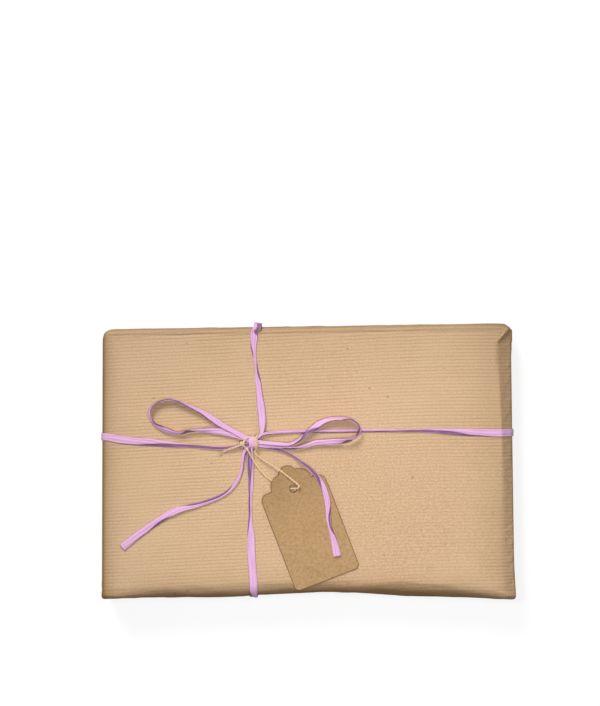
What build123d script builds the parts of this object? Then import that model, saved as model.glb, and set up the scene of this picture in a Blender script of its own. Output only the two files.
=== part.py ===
"""A flat parcel in ribbed kraft paper, tied both ways with paper raffia, with a gift tag on twine.

The parcel lies flat on its underside. +Z is up, +X runs along the parcel and -Y is its near edge.
The origin is the middle of the underside. All sizes are in millimetres.
"""

import os
from math import cos, pi, radians, sin, tan

from build123d import *

# Wrapped box
parcel_length = 248.0
parcel_width = 166.0
parcel_height = 30.0
top_edge_radius = 3.0
near_edge_radius = 8.0
base_edge_radius = 2.5
far_left_radius = 6.0
far_right_cut = 5.0
far_edge_slope = 3.0
left_edge_lean = 0.5
right_edge_lean = 2.5
near_left_step = 0.5
dent_start_x = -50.0
dent_start_depth = 0.6
dent_middle_x = 10.8
dent_middle_depth = 4.1
dent_end_x = 60.0
dent_end_depth = 1.4
dent_radius = 250.0
bevel_width = 7.5
bevel_drop = 5.0
pleat_drop = 2.4
pleat_from_corner = 4.8
pleat_turn = 43.0

# Folds of the paper
lower_flap_below_fold = 5.5
upper_flap_reach = 14.0
lower_flap_bulge = 0.6
flap_cover = 0.02
lap_y = -20.0
lap_step = 0.15

# Clear tape
tape_width = 18.0
tape_length = 40.0
tape_thickness = 0.1
tape_seat = 0.02
back_tape_inset = 40.0
end_tape_y = -12.0

# Raffia strip
raffia_width = 5.2
raffia_thickness = 0.4
raffia_section_area = 1.9
raffia_crease = 0.15
rim_raffia_width = 4.4
band_seat = 0.2
far_rim_lift = 1.4
base_gap = 0.05
base_squareness = 0.65
crossing_lift = 0.25
channel_depth = 1.3
channel_clearance = 0.4
long_band_left_aside = 3.2
long_band_right_aside = 5.2
short_band_far_aside = 1.4
short_band_near_aside = 0.9
top_rim_bends = (0, 15, 30, 45, 60, 75, 90)
base_rim_bends = (0, 30, 60, 90)
knot_x = -33.6
knot_y = 11.2
knot_length = 3.8
knot_width = 6.4
knot_height = 3.6
knot_rounding = 1.2

# Gift tag
tag_width = 41.0
tag_length = 73.0
tag_thickness = 0.5
tag_corner_radius = 3.0
tag_shoulder_radius = 4.8
tag_side_lobe_radius = 7.8
tag_side_lobe_width = 7.6
tag_side_lobe_height = 8.0
tag_crown_width = 10.2
tag_crown_height = 3.7
tag_hole_diameter = 4.5
tag_hole_from_top = 14.4
tag_turn = 21.0
tag_tilt = 2.0
tag_foot_x = 45.7
tag_foot_y = -82.3
tag_seat = 0.1

# Jute twine
twine_diameter = 1.0
twine_sides = 8
twine_knot_diameter = 3.2
twine_knot_aside = (0.2, 0.6, 0.4)
largest_bend_share = 0.45

UP = Vector(0, 0, 1)

half_length = parcel_length / 2
half_width = parcel_width / 2
near_left = Vector(-half_length, near_left_step - half_width)
near_right = Vector(half_length, -half_width)
far_right = Vector(half_length - right_edge_lean, half_width)
far_left = Vector(left_edge_lean - half_length, half_width - far_edge_slope)


def on_line(start, end, share):
    """The point at a share of the way from start to end."""
    return start + (end - start) * share


def x_of_left_edge(y):
    return on_line(near_left, far_left, (y - near_left.Y) / (far_left.Y - near_left.Y)).X


def x_of_right_edge(y):
    return on_line(near_right, far_right, (y - near_right.Y) / (far_right.Y - near_right.Y)).X


def y_of_far_edge(x):
    return on_line(far_left, far_right, (x - far_left.X) / (far_right.X - far_left.X)).Y


def near_edge_point(x, depth):
    """A point of the near edge, which is dented by the raffia's pull."""
    straight = on_line(near_left, near_right, (x - near_left.X) / (near_right.X - near_left.X))
    return straight + Vector(0, depth)


dent_starts = near_edge_point(dent_start_x, dent_start_depth)
dent_middle = near_edge_point(dent_middle_x, dent_middle_depth)
dent_ends = near_edge_point(dent_end_x, dent_end_depth)

# Where the bands go over the four edges
long_band_left_y = knot_y + long_band_left_aside
long_band_right_y = knot_y + long_band_right_aside
short_band_far_x = knot_x + short_band_far_aside
short_band_near_x = knot_x + short_band_near_aside
near_edge_at_band = on_line(
    dent_starts,
    dent_middle,
    (short_band_near_x - dent_starts.X) / (dent_middle.X - dent_starts.X),
)


def end_plane(near, far):
    """A plane on one end of the parcel, with x along the end, y up and z outwards."""
    along = (far - near).normalized()
    outwards = along.cross(UP)
    if outwards.X * near.X < 0:
        along, outwards = -along, -outwards
    return Plane(origin=(near + far) / 2, x_dir=along, z_dir=outwards)


left_end = end_plane(near_left, far_left)
right_end = end_plane(near_right, far_right)
lower_fold = base_edge_radius
upper_fold = parcel_height - max(top_edge_radius, bevel_drop)
upper_flap_tip = upper_fold - upper_flap_reach
lower_flap_tip = upper_fold - lower_flap_below_fold
lower_flap_reach = lower_flap_tip - lower_fold
# The upper flap's tip lies just under the lower flap
upper_flap_bulge = lower_flap_bulge * (upper_flap_tip - lower_fold) / lower_flap_reach - flap_cover
end_half_width = half_width - far_edge_slope - far_left_radius
back_tape_places = ("left", "middle", "right")
back_tape_spacing = (parcel_length - 2 * back_tape_inset) / (len(back_tape_places) - 1)


def folded_flap(plane, fold, tip, bulge):
    """A trapezium of paper from its fold line to its tip, lifted at the tip by what it covers."""
    reach = abs(tip - fold)
    with BuildPart() as wedge:
        with BuildSketch(plane):
            with BuildLine():
                Polyline(
                    (-end_half_width, fold),
                    (end_half_width, fold),
                    (end_half_width - reach, tip),
                    (reach - end_half_width, tip),
                    close=True,
                )
            make_face()
        extrude(amount=bulge)
        fold_point = plane.from_local_coords(Vector(0, fold, 0))
        outwards = plane.z_dir * (tip - fold) - plane.y_dir * bulge
        if tip < fold:
            outwards = -outwards
        split(bisect_by=Plane(origin=fold_point, x_dir=plane.x_dir, z_dir=outwards), keep=Keep.BOTTOM)
    return wedge.part


def channel(start, end):
    """A channel in the underside from one edge to the other, where a band is pulled into the paper."""
    across = (end - start).cross(UP).normalized() * (raffia_width / 2 + channel_clearance)
    beyond = (end - start).normalized() * raffia_width
    with BuildSketch() as outline:
        with BuildLine():
            Polyline(
                start - beyond - across,
                end + beyond - across,
                end + beyond + across,
                start - beyond + across,
                close=True,
            )
        make_face()
    return outline.sketch


def slanted_edge(drop):
    """The plane that slants down by a drop, over the width of the bevel, along the right end."""
    return Plane(
        origin=near_right + UP * (parcel_height - drop),
        x_dir=right_end.x_dir,
        z_dir=right_end.z_dir * drop + UP * bevel_width,
    )


# The paper is pulled slack over the right end, down to the lip of the pleat at its far corner
pleat_lip = on_line(far_right, near_right, pleat_from_corner / parcel_width)
with BuildPart() as end_bevel:
    foot = right_end.origin + UP * (parcel_height - bevel_drop)
    with BuildSketch(Plane(origin=foot, x_dir=right_end.x_dir, z_dir=UP)):
        Rectangle(2 * parcel_width, 2 * bevel_width)
    extrude(amount=2 * bevel_drop)
    split(bisect_by=slanted_edge(bevel_drop), keep=Keep.TOP)
    split(bisect_by=Plane(origin=pleat_lip, z_dir=Vector(1, 0).rotate(Axis.Z, -pleat_turn)), keep=Keep.TOP)


with BuildPart() as wrapped_parcel:
    with BuildSketch():
        with BuildLine():
            Polyline(near_left, dent_starts, dent_middle, dent_ends, near_right)
            Polyline(near_right, far_right, far_left, near_left)
        make_face()
        for bend in (dent_starts, dent_middle, dent_ends):
            fillet(vertices().sort_by_distance((bend.X, bend.Y))[0], dent_radius)
        fillet(vertices().sort_by_distance((far_left.X, far_left.Y))[0], far_left_radius)
        chamfer(vertices().sort_by_distance((far_right.X, far_right.Y))[0], far_right_cut)
    extrude(amount=parcel_height)
    # The paper lies slack over the near edge, and is drawn tight over the other three
    top_edges = faces().sort_by(Axis.Z)[-1].edges()
    fillet(top_edges.filter_by(lambda edge: edge.center().Y < -half_width / 2), near_edge_radius)
    top_edges = faces().sort_by(Axis.Z)[-1].edges()
    fillet(top_edges.filter_by(lambda edge: edge.center().Y > -half_width / 2), top_edge_radius)
    fillet(faces().sort_by(Axis.Z)[0].edges(), base_edge_radius)
    # The right end has a broad slanted edge, and a pleat stands proud of it at the far corner
    split(bisect_by=slanted_edge(pleat_drop), keep=Keep.BOTTOM)
    add(end_bevel.part, mode=Mode.SUBTRACT)
    # Each end is closed by an upper flap, and by a lower flap over it
    for plane in (left_end, right_end):
        add(folded_flap(plane, upper_fold, upper_flap_tip, upper_flap_bulge))
        add(folded_flap(plane, lower_fold, lower_flap_tip, lower_flap_bulge))
    # The paper's edge laps along the underside, and is one layer thinner on its near side
    with BuildSketch():
        with Locations((0, lap_y)):
            Rectangle(2 * parcel_length, parcel_width, align=(Align.CENTER, Align.MAX))
    extrude(amount=lap_step, mode=Mode.SUBTRACT)
    with BuildSketch():
        add(channel(Vector(near_left.X, long_band_left_y), Vector(near_right.X, long_band_right_y)))
        add(channel(Vector(short_band_near_x, near_left.Y), Vector(short_band_far_x, far_left.Y)))
    extrude(amount=channel_depth, mode=Mode.SUBTRACT)
    # The back tape is pressed flush into the outer layer
    with BuildSketch():
        with Locations((0, lap_y)):
            with GridLocations(back_tape_spacing, 1, len(back_tape_places), 1):
                Rectangle(tape_width, tape_length)
    extrude(amount=tape_thickness, mode=Mode.SUBTRACT)


back_tapes = {}
for index, place in enumerate(back_tape_places):
    with BuildPart() as back_tapes[place]:
        with BuildSketch():
            with Locations(((index - 1) * back_tape_spacing, lap_y)):
                Rectangle(tape_width, tape_length)
        extrude(amount=tape_thickness)


def end_tape(plane, centre_y):
    """A strip over the lower flap's tip, from the lower flap up to the upper fold."""
    high = upper_fold
    low = high - tape_width
    at_low = lower_flap_bulge * (low - lower_fold) / lower_flap_reach + tape_seat
    at_tip = lower_flap_bulge + tape_seat
    at_high = tape_seat
    middle = plane.from_local_coords(Vector(centre_y * plane.x_dir.Y, 0, 0))
    with BuildPart() as strip:
        with BuildSketch(Plane(origin=middle, x_dir=plane.z_dir, z_dir=-plane.x_dir)):
            with BuildLine():
                Polyline(
                    (at_low, low),
                    (at_tip, lower_flap_tip),
                    (at_high, high),
                    (at_high + tape_thickness, high),
                    (at_tip + tape_thickness, lower_flap_tip),
                    (at_low + tape_thickness, low),
                    close=True,
                )
            make_face()
        extrude(amount=tape_length / 2, both=True)
    return strip


end_tapes = {
    "left": end_tape(left_end, end_tape_y),
    "right": end_tape(right_end, end_tape_y),
}

tag_half = tag_width / 2
tag_crown_foot = tag_length - tag_crown_height
tag_shoulder = tag_crown_foot - tag_side_lobe_height
tag_notch = tag_crown_width / 2 + tag_side_lobe_width
tag_crown_radius = (tag_crown_width**2 / 4 + tag_crown_height**2) / (2 * tag_crown_height)
turn, tilt = radians(tag_turn), radians(tag_tilt)
tag_across = Vector(cos(turn), sin(turn), 0)
tag_along = Vector(-sin(turn), cos(turn), 0) * cos(tilt) + UP * sin(tilt)
tag_foot = Vector(knot_x + tag_foot_x, knot_y + tag_foot_y, parcel_height + tag_seat)
tag_plane = Plane(origin=tag_foot, x_dir=tag_across, z_dir=tag_across.cross(tag_along))


def above_tag(x, y):
    """How high the tag's upper face is above the parcel's top at a point."""
    upper = tag_foot + tag_plane.z_dir * tag_thickness
    normal = tag_plane.z_dir
    height = upper.Z - (normal.X * (x - upper.X) + normal.Y * (y - upper.Y)) / normal.Z
    return height - parcel_height


with BuildPart() as gift_tag:
    with BuildSketch(tag_plane):
        with BuildLine():
            Polyline((0, 0), (tag_half, 0), (tag_half, tag_shoulder), (tag_notch, tag_shoulder))
            RadiusArc((tag_notch, tag_shoulder), (tag_crown_width / 2, tag_crown_foot), -tag_side_lobe_radius)
            RadiusArc((tag_crown_width / 2, tag_crown_foot), (0, tag_length), -tag_crown_radius)
            mirror(about=Plane.YZ)
        make_face()
        for side in (-tag_half, tag_half):
            fillet(vertices().sort_by_distance((side, tag_shoulder))[0], tag_shoulder_radius)
            fillet(vertices().sort_by_distance((side, 0))[0], tag_corner_radius)
        with Locations((0, tag_length - tag_hole_from_top)):
            Circle(tag_hole_diameter / 2, mode=Mode.SUBTRACT)
    extrude(amount=tag_thickness)


# Where the bands cross the top: the share of the way from the knot to the rim, how far they stand
# aside from the knot, and their width, which is less where the strip is bunched up
long_band_left = [
    (0.02, -0.8, 1.8),
    (0.06, -1.8, 1.8),
    (0.2, -3.7, 1.8),
    (0.42, -2.4, 2.0),
    (0.515, -1.3, 3.3),
    (0.61, -0.3, 4.6),
    (0.8, 1.5, 4.2),
]
long_band_right = [
    (0.01, 1.0, 1.7),
    (0.04, 4.6, 1.7),
    (0.14, 6.1, 1.8),
    (0.4, 6.7, 1.8),
    (0.65, 6.7, 1.7),
    (0.71, 6.6, 2.6),
    (0.79, 6.0, 3.9),
    (0.88, 5.6, 4.8),
]
short_band_far = [
    (0.02, 1.0, 1.8),
    (0.07, 5.4, 1.8),
    (0.16, 6.2, 4.1),
    (0.28, 5.9, 4.7),
    (0.4, 5.0, 4.7),
    (0.53, 4.1, 4.1),
    (0.63, 3.0, 2.1),
    (0.71, 2.3, 1.5),
    (0.79, 1.4, 1.6),
    (0.87, 0.5, 3.0),
]
short_band_near = [
    (0.02, -0.8, 2.0),
    (0.12, -1.2, 4.2),
    (0.21, -0.8, 3.8),
    (0.31, -0.8, 2.5),
    (0.4, -1.1, 1.7),
    (0.49, -1.0, 2.0),
    (0.56, -1.0, 2.9),
    (0.63, -0.6, 4.5),
    (0.72, -0.4, 5.2),
    (0.87, 0.4, 5.2),
]

# The bow, measured from the knot: x, y, how high the middle of the strip stands over the top,
# its width as a share of the whole strip, and its roll in degrees, where 0 lies flat
left_loop = [
    (-0.5, 1.0, 2.3, 0.6, 10),
    (-9.5, 6.0, 2.8, 0.65, 15),
    (-16.5, 9.5, 3.0, 0.75, 20),
    (-23.5, 14.0, 3.2, 0.8, 25),
    (-30.5, 18.5, 3.3, 0.8, 50),
    (-37.5, 21.5, 3.4, 0.85, 65),
    (-48.0, 25.5, 3.4, 0.9, 76),
    (-55.0, 24.5, 3.3, 0.9, 78),
    (-60.0, 21.0, 3.2, 0.9, 76),
    (-61.4, 16.5, 3.1, 0.9, 74),
    (-58.8, 11.3, 3.0, 0.9, 70),
    (-52.0, 7.2, 2.5, 0.85, 42),
    (-44.7, 5.3, 2.4, 0.75, 62),
    (-37.4, 6.7, 2.4, 0.65, 70),
    (-30.5, 6.7, 2.2, 0.6, 50),
    (-21.3, 5.6, 1.9, 0.95, 8),
    (-16.7, 4.8, 1.9, 0.95, 0),
    (-9.8, 3.7, 2.0, 0.7, 0),
    (0.0, 0.6, 1.8, 0.6, 0),
]
right_loop = [
    (0.5, -0.6, 2.4, 0.7, 0),
    (7.8, -2.4, 2.3, 0.85, 0),
    (16.6, -3.1, 2.2, 0.7, 20),
    (25.4, -3.3, 2.3, 0.6, 55),
    (29.8, -2.5, 2.3, 0.6, 50),
    (34.2, -1.1, 2.3, 0.75, 25),
    (38.6, -0.2, 2.5, 0.8, 15),
    (47.4, 0.2, 3.0, 0.8, 15),
    (53.0, 0.4, 3.5, 0.8, 35),
    (58.0, 1.2, 3.9, 0.85, 60),
    (62.8, 3.6, 4.2, 0.9, 74),
    (64.8, 7.0, 4.2, 0.9, 76),
    (63.7, 10.5, 4.0, 0.9, 74),
    (59.7, 13.2, 3.7, 0.9, 72),
    (53.5, 14.0, 3.5, 0.85, 66),
    (47.4, 13.6, 3.3, 0.8, 55),
    (43.0, 12.6, 3.2, 0.8, 35),
    (39.5, 10.9, 3.2, 0.85, 20),
    (36.4, 8.6, 3.3, 0.8, 15),
    (30.7, 3.7, 3.4, 0.7, 20),
    (24.5, 0.6, 3.6, 0.6, 50),
    (16.6, -0.7, 3.4, 0.6, 40),
    (0.5, 0.5, 2.6, 0.6, 10),
]
left_tail = [
    (-0.4, -0.5, 1.6, 0.5, 0),
    (-4.7, -5.8, 1.2, 0.45, 20),
    (-5.4, -11.0, 0.9, 0.42, 0),
    (-6.6, -18.0, 0.8, 0.42, 0),
    (-9.5, -23.5, 0.8, 0.46, 0),
    (-13.6, -28.3, 0.8, 0.52, 0),
    (-19.0, -32.0, 0.8, 0.56, 0),
    (-26.0, -34.8, 0.9, 0.62, 0),
    (-34.0, -37.4, 1.0, 0.66, 4),
    (-41.6, -39.4, 1.2, 0.74, 8),
    (-47.5, -41.8, 1.3, 0.9, 6),
    (-55.0, -46.3, 1.1, 0.9, 0),
    (-63.0, -52.0, 0.9, 0.85, -4),
    (-71.5, -58.6, 0.8, 0.85, 0),
    (-77.8, -63.5, 0.7, 0.85, 0),
]
right_tail_before_tag = [
    (0.5, -1.4, 1.3, 0.4, 0),
    (10.0, -3.2, 1.1, 0.36, 0),
    (20.0, -5.7, 1.1, 0.36, 0),
    (25.4, -8.6, 1.6, 0.36, 0),
]
# On the tag the height is over the tag's face
right_tail_on_tag = [
    (30.0, -11.9, 1.3, 0.38, 0),
    (35.1, -15.7, 1.2, 0.4, 0),
    (39.4, -20.4, 1.0, 0.48, 0),
    (42.5, -26.0, 0.9, 0.65, 0),
    (44.4, -31.6, 0.9, 0.7, 0),
    (45.7, -38.5, 0.9, 0.68, 0),
    (45.9, -45.0, 1.0, 0.5, 10),
    (46.8, -51.0, 1.2, 0.4, 30),
    (48.6, -57.2, 1.0, 0.62, 15),
    (50.3, -63.4, 0.7, 0.82, 0),
    (51.4, -68.3, 0.6, 0.84, 0),
]
right_tail = right_tail_before_tag + [
    (x, y, z + above_tag(knot_x + x, knot_y + y), share, roll) for x, y, z, share, roll in right_tail_on_tag
]


def strip_thickness(width):
    """The strip is thicker where it is bunched up."""
    return max(raffia_thickness, raffia_section_area / width)


def strand(points, widths, sides):
    """A stretch of the strip, creased along its middle, lofted from one section to the next.

    It is made in two halves, because where it comes back to the knot it meets its own start.
    """
    sections = []
    for i, point in enumerate(points):
        along = points[min(i + 1, len(points) - 1)] - points[max(i - 1, 0)]
        across = sides[i] - along * (sides[i].dot(along) / along.dot(along))
        half = widths[i] / 2
        half_thickness = strip_thickness(widths[i]) / 2
        with BuildSketch(Plane(origin=point, x_dir=across, z_dir=along)) as section:
            with BuildLine():
                Polyline(
                    (-half, -half_thickness),
                    (0, raffia_crease - half_thickness),
                    (half, -half_thickness),
                    (half, half_thickness),
                    (0, raffia_crease + half_thickness),
                    (-half, half_thickness),
                    close=True,
                )
            make_face()
        sections.append(section.sketch)
    middle = len(sections) // 2
    halves = []
    for span in (sections[: middle + 1], sections[middle:]):
        with BuildPart() as piece:
            loft(span, ruled=True)
        halves.append(piece.part)
    return halves


def bow_strand(stations):
    """A loop or a tail of the bow."""
    points = [Vector(knot_x + x, knot_y + y, parcel_height + z) for x, y, z, share, roll in stations]
    widths = [raffia_width * share for x, y, z, share, roll in stations]
    sides = []
    for i, (x, y, z, share, roll) in enumerate(stations):
        along = points[min(i + 1, len(points) - 1)] - points[max(i - 1, 0)]
        level = UP.cross(along).normalized()
        sides.append(level * cos(radians(roll)) + UP * sin(radians(roll)))
    return strand(points, widths, sides)


def over_top(stations, centre, rim):
    """Along a band from the knot to a rim: its place, its height, its offset and its width."""
    return [
        (
            centre + (rim - centre) * share,
            parcel_height + band_seat + strip_thickness(width) / 2,
            offset,
            width,
        )
        for share, offset, width in stations
    ]


rim_lift = band_seat + raffia_thickness / 2


def round_top_rim(edge, outwards, rim_radius, extra=0.0):
    """Over a rounded rim: places and heights of the middle of the strip."""
    radius = rim_radius + rim_lift
    return [
        (
            edge - outwards * (rim_radius - (radius + extra) * sin(radians(angle))),
            parcel_height - rim_radius + (radius + extra * sin(2 * radians(angle))) * cos(radians(angle)),
        )
        for angle in top_rim_bends
    ]


def round_base_rim(edge, outwards, lift=0.0):
    """Under a rounded rim into its channel, where the strip is flush with the underside.

    The squareness keeps the flat stretches between the stations clear of the rounded rim, and the
    lift keeps one band over the other where they cross under the parcel.
    """
    reach = base_edge_radius + rim_lift
    depth = base_edge_radius - raffia_thickness / 2 - raffia_crease - base_gap - lift
    return [
        (
            edge - outwards * (base_edge_radius - reach * cos(radians(angle)) ** base_squareness),
            base_edge_radius - depth * sin(radians(angle)) ** base_squareness,
        )
        for angle in base_rim_bends
    ]


def long_band():
    """From the knot over the left end, along the underside and back over the right end."""
    left_edge = x_of_left_edge(long_band_left_y)
    right_edge = x_of_right_edge(long_band_right_y)
    crest = right_edge - bevel_width
    left_top = over_top(long_band_left, knot_x, left_edge + top_edge_radius)
    right_top = over_top(long_band_right, knot_x, crest)
    out = lower_flap_bulge + rim_lift
    left_side = round_top_rim(left_edge, -1, top_edge_radius) + [(left_edge - out, lower_flap_tip)]
    right_side = [
        (crest, parcel_height + rim_lift),
        (right_edge + rim_lift, parcel_height - bevel_drop + rim_lift),
        (right_edge + out, lower_flap_tip),
    ]
    left_base = round_base_rim(left_edge, -1)
    right_base = round_base_rim(right_edge, 1)
    path = [(x, knot_y + offset, z, width) for x, z, offset, width in left_top]
    path += [(x, long_band_left_y, z, rim_raffia_width) for x, z in left_side + left_base]
    path += [(x, long_band_right_y, z, rim_raffia_width) for x, z in reversed(right_side + right_base)]
    path += [(x, knot_y + offset, z, width) for x, z, offset, width in reversed(right_top)]
    points = [Vector(x, y, z) for x, y, z, width in path]
    return strand(points, [width for x, y, z, width in path], [Vector(0, -1, 0)] * len(path))


def short_band():
    """From the knot over the far edge, along the underside and back over the near edge."""
    far_edge = y_of_far_edge(short_band_far_x)
    near_edge = near_edge_at_band.Y
    far_top = over_top(short_band_far, knot_y, far_edge - top_edge_radius)
    near_top = over_top(short_band_near, knot_y, near_edge + near_edge_radius)
    far_side = round_top_rim(far_edge, 1, top_edge_radius, far_rim_lift) + round_base_rim(far_edge, 1, crossing_lift)
    near_side = round_top_rim(near_edge, -1, near_edge_radius) + round_base_rim(near_edge, -1, crossing_lift)
    path = [(knot_x + offset, y, z, width) for y, z, offset, width in far_top]
    path += [(short_band_far_x, y, z, rim_raffia_width) for y, z in far_side]
    path += [(short_band_near_x, y, z, rim_raffia_width) for y, z in reversed(near_side)]
    path += [(knot_x + offset, y, z, width) for y, z, offset, width in reversed(near_top)]
    points = [Vector(x, y, z) for x, y, z, width in path]
    sides = [Vector(-1, 0, 0)] * len(far_top) + [(far_left - far_right).normalized()] * len(far_side)
    sides += [(dent_starts - dent_middle).normalized()] * len(near_side) + [Vector(-1, 0, 0)] * len(near_top)
    return strand(points, [width for x, y, z, width in path], sides)


with BuildPart() as raffia_ribbon:
    with BuildSketch(Plane.XY.offset(parcel_height + band_seat)):
        with Locations((knot_x, knot_y)):
            Rectangle(knot_length, knot_width)
    extrude(amount=knot_height - band_seat)
    fillet(edges().filter_by(Axis.Y), knot_rounding)
    for half in long_band() + short_band():
        add(half)
    for stations in (left_loop, right_loop, left_tail, right_tail):
        for half in bow_strand(stations):
            add(half)


# The twine's route, measured from the knot and the parcel's top: from its frayed end, past its own
# knot, under the tag's head and up through the hole, back over the head and round the bow's knot
hole = tag_foot + tag_along * (tag_length - tag_hole_from_top) - Vector(knot_x, knot_y, parcel_height)
twine_route = [
    (-17.4, -6.2, 1.2),
    (-13.6, -4.4, 2.1),
    (-9.4, -3.0, 2.6),
    (-5.9, -1.4, 2.9),
    (-3.6, -3.2, 2.9),
    (-1.3, -6.6, 2.3),
    (1.0, -11.1, 1.5),
    (4.4, -16.3, 0.9),
    (8.4, -20.6, 0.9),
    (13.2, -24.0, 1.0),
    (18.5, -26.4, 1.1),
    (22.8, -27.8, 1.3),
    (24.2, -28.1, 3.0),
    (26.2, -28.3, 4.3),
    (27.9, -28.2, 4.3),
    (28.7, -27.2, 4.3),
    (28.1, -25.9, 4.2),
    (25.4, -23.4, 4.1),
    (21.0, -19.8, 4.0),
    (16.4, -16.4, 3.7),
    (10.4, -12.8, 2.0),
    (5.2, -9.4, 1.7),
    (3.5, -5.6, 2.6),
    (3.3, -2.4, 3.9),
    (3.0, 1.4, 4.1),
    (1.4, 4.6, 3.7),
    (-1.8, 4.9, 3.6),
    (-3.8, 2.6, 4.0),
    (-5.4, 0.6, 3.5),
]


def corner_radii(points):
    """For each corner of a route, the largest arc that leaves its two runs room."""
    radii = []
    for before, corner, after in zip(points, points[1:], points[2:]):
        turn = radians((corner - before).get_angle(after - corner))
        shorter = min((corner - before).length, (after - corner).length)
        radii.append(largest_bend_share * shorter / tan(turn / 2))
    return radii


twine_points = [Vector(knot_x + x, knot_y + y, parcel_height + z) for x, y, z in twine_route]
twine_radii = corner_radii(twine_points)

with BuildPart() as tag_twine:
    with BuildLine() as twine_path:
        FilletPolyline(*twine_points, radius=twine_radii)
    with BuildSketch(Plane(origin=twine_path.line @ 0, z_dir=twine_path.line % 0)):
        RegularPolygon(twine_diameter / 2, twine_sides)
    sweep()

twine_length = twine_path.wires()[0].length
print("twine length", round(twine_length, 1), "radii", [round(r, 1) for r in twine_radii])
twine_section = twine_sides * (twine_diameter / 2) ** 2 * sin(2 * pi / twine_sides) / 2
print("twine volume", tag_twine.part.volume, "section times length", twine_section * twine_length)

with BuildPart() as twine_with_knot:
    add(tag_twine.part)
    with Locations(twine_points[3] + twine_knot_aside):
        Sphere(twine_knot_diameter / 2)


os.makedirs("parts", exist_ok=True)

wrapped_parcel.part.label = "wrapped_parcel"
export_step(wrapped_parcel.part, "parts/wrapped_parcel.step")

raffia_ribbon.part.label = "raffia_ribbon"
export_step(raffia_ribbon.part, "parts/raffia_ribbon.step")

gift_tag.part.label = "gift_tag"
export_step(gift_tag.part, "parts/gift_tag.step")

twine_with_knot.part.label = "tag_twine"
export_step(twine_with_knot.part, "parts/tag_twine.step")

for place, tape in back_tapes.items():
    tape.part.label = f"tape_back_{place}"
    export_step(tape.part, f"parts/tape_back_{place}.step")

for place, tape in end_tapes.items():
    tape.part.label = f"tape_end_{place}"
    export_step(tape.part, f"parts/tape_end_{place}.step")
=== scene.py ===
"""A flat parcel in ribbed kraft paper, tied both ways with paper raffia, with a gift tag on twine.

The parcel lies in the frame of its solids, with +Z up. Its length runs along X, from the left end to
the right end, and +Y is its far side. Forms are worked out in millimetres and made into meshes in
metres.
"""

from math import cos, pi, radians, sin

import bmesh
import bpy
import numpy as np
from bpy.props import FloatProperty, FloatVectorProperty, IntProperty, PointerProperty
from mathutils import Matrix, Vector, noise


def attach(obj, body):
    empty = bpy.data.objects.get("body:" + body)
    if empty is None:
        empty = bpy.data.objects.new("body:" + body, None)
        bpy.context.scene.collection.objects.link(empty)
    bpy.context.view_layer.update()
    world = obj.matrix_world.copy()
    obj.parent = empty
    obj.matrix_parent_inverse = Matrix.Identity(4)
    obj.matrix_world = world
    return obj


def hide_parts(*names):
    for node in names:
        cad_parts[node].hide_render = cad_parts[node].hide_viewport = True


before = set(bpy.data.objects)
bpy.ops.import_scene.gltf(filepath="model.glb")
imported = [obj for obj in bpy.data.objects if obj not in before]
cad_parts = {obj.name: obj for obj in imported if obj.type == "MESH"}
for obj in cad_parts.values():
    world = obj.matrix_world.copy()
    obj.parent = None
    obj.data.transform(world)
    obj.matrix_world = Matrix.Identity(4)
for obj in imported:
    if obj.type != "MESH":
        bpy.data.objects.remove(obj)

bl_info = {
    "name": "Wrapped Parcel",
    "version": (1, 0, 0),
    "blender": (4, 5, 0),
    "location": "3D View > Sidebar > Parcel",
    "description": "Dresses a kraft paper parcel with its raffia bow and its gift tag",
    "category": "Object",
}

MM = 0.001

# Wrapped box
PARCEL_LENGTH = 248.0
PARCEL_WIDTH = 166.0
PARCEL_HEIGHT = 30.0
TOP_EDGE_RADIUS = 3.0
BASE_EDGE_RADIUS = 2.5
SHARP_CORNER_RADIUS = 0.8
FAR_LEFT_RADIUS = 6.0
FAR_RIGHT_CUT = 4.9
FAR_RIGHT_CUT_SLOPE = 0.7
FAR_EDGE_SLOPE = 3.5
LEFT_EDGE_LEAN = 0.5
RIGHT_EDGE_LEAN = 2.5
NEAR_LEFT_STEP = 0.5
NEAR_DENT = ((-124.0, 0.0), (-50.0, 0.6), (10.8, 4.1), (60.0, 1.4), (124.0, 0.0))
NEAR_DENT_SOFTNESS = 12.0
CORNER_FLARE = 0.9
EAR_OUT = 0.8
EAR_NIP = 0.35
EAR_NIP_Y = 70.2
BEVEL_WIDTH = 6.5
BEVEL_WIDTH_FAR = 8.6
BEVEL_DROP = 5.0
BEVEL_EDGE_WIDTH = 0.9
BEVEL_EDGE_DROP = 1.2
PLEAT_TURN = 43.0
PLEAT_STEP = 0.55
PLEAT_LIP = 0.3
PLEAT_BEND = (113.4, 70.8)
NEAR_FACET = ((20.0, 3.0), (33.0, 6.1), (54.0, 9.4), (79.0, 8.3), (115.0, 5.0), (124.0, 2.0))
NEAR_FACET_SLOPE = 0.36
FAR_FOLD_IN = 3.9
FAR_FOLD_WIDTH = 0.55
FAR_FOLD_DEPTH = 0.3
FAR_FOLD_WAVE = 0.35
FLAT_RIBS_MIDDLE = (30.0, -28.0)
FLAT_RIBS_REACH = (95.0, 62.0)
PAPER_THICKNESS = 0.15
RIGHT_WALL_BEHIND = 0.6
END_TURNED_IN = 1.5
UNDERSIDE = 0.12

# How many rows of points the sheet has on each of its stretches
NEAR_BASE_ROWS = 88
FAR_BASE_ROWS = 146
WALL_ROWS = 50
TOP_ROWS = 440
BASE_RIM_ROWS = 8
NEAR_RIM_ROWS = 15
FAR_RIM_ROWS = 11

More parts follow.
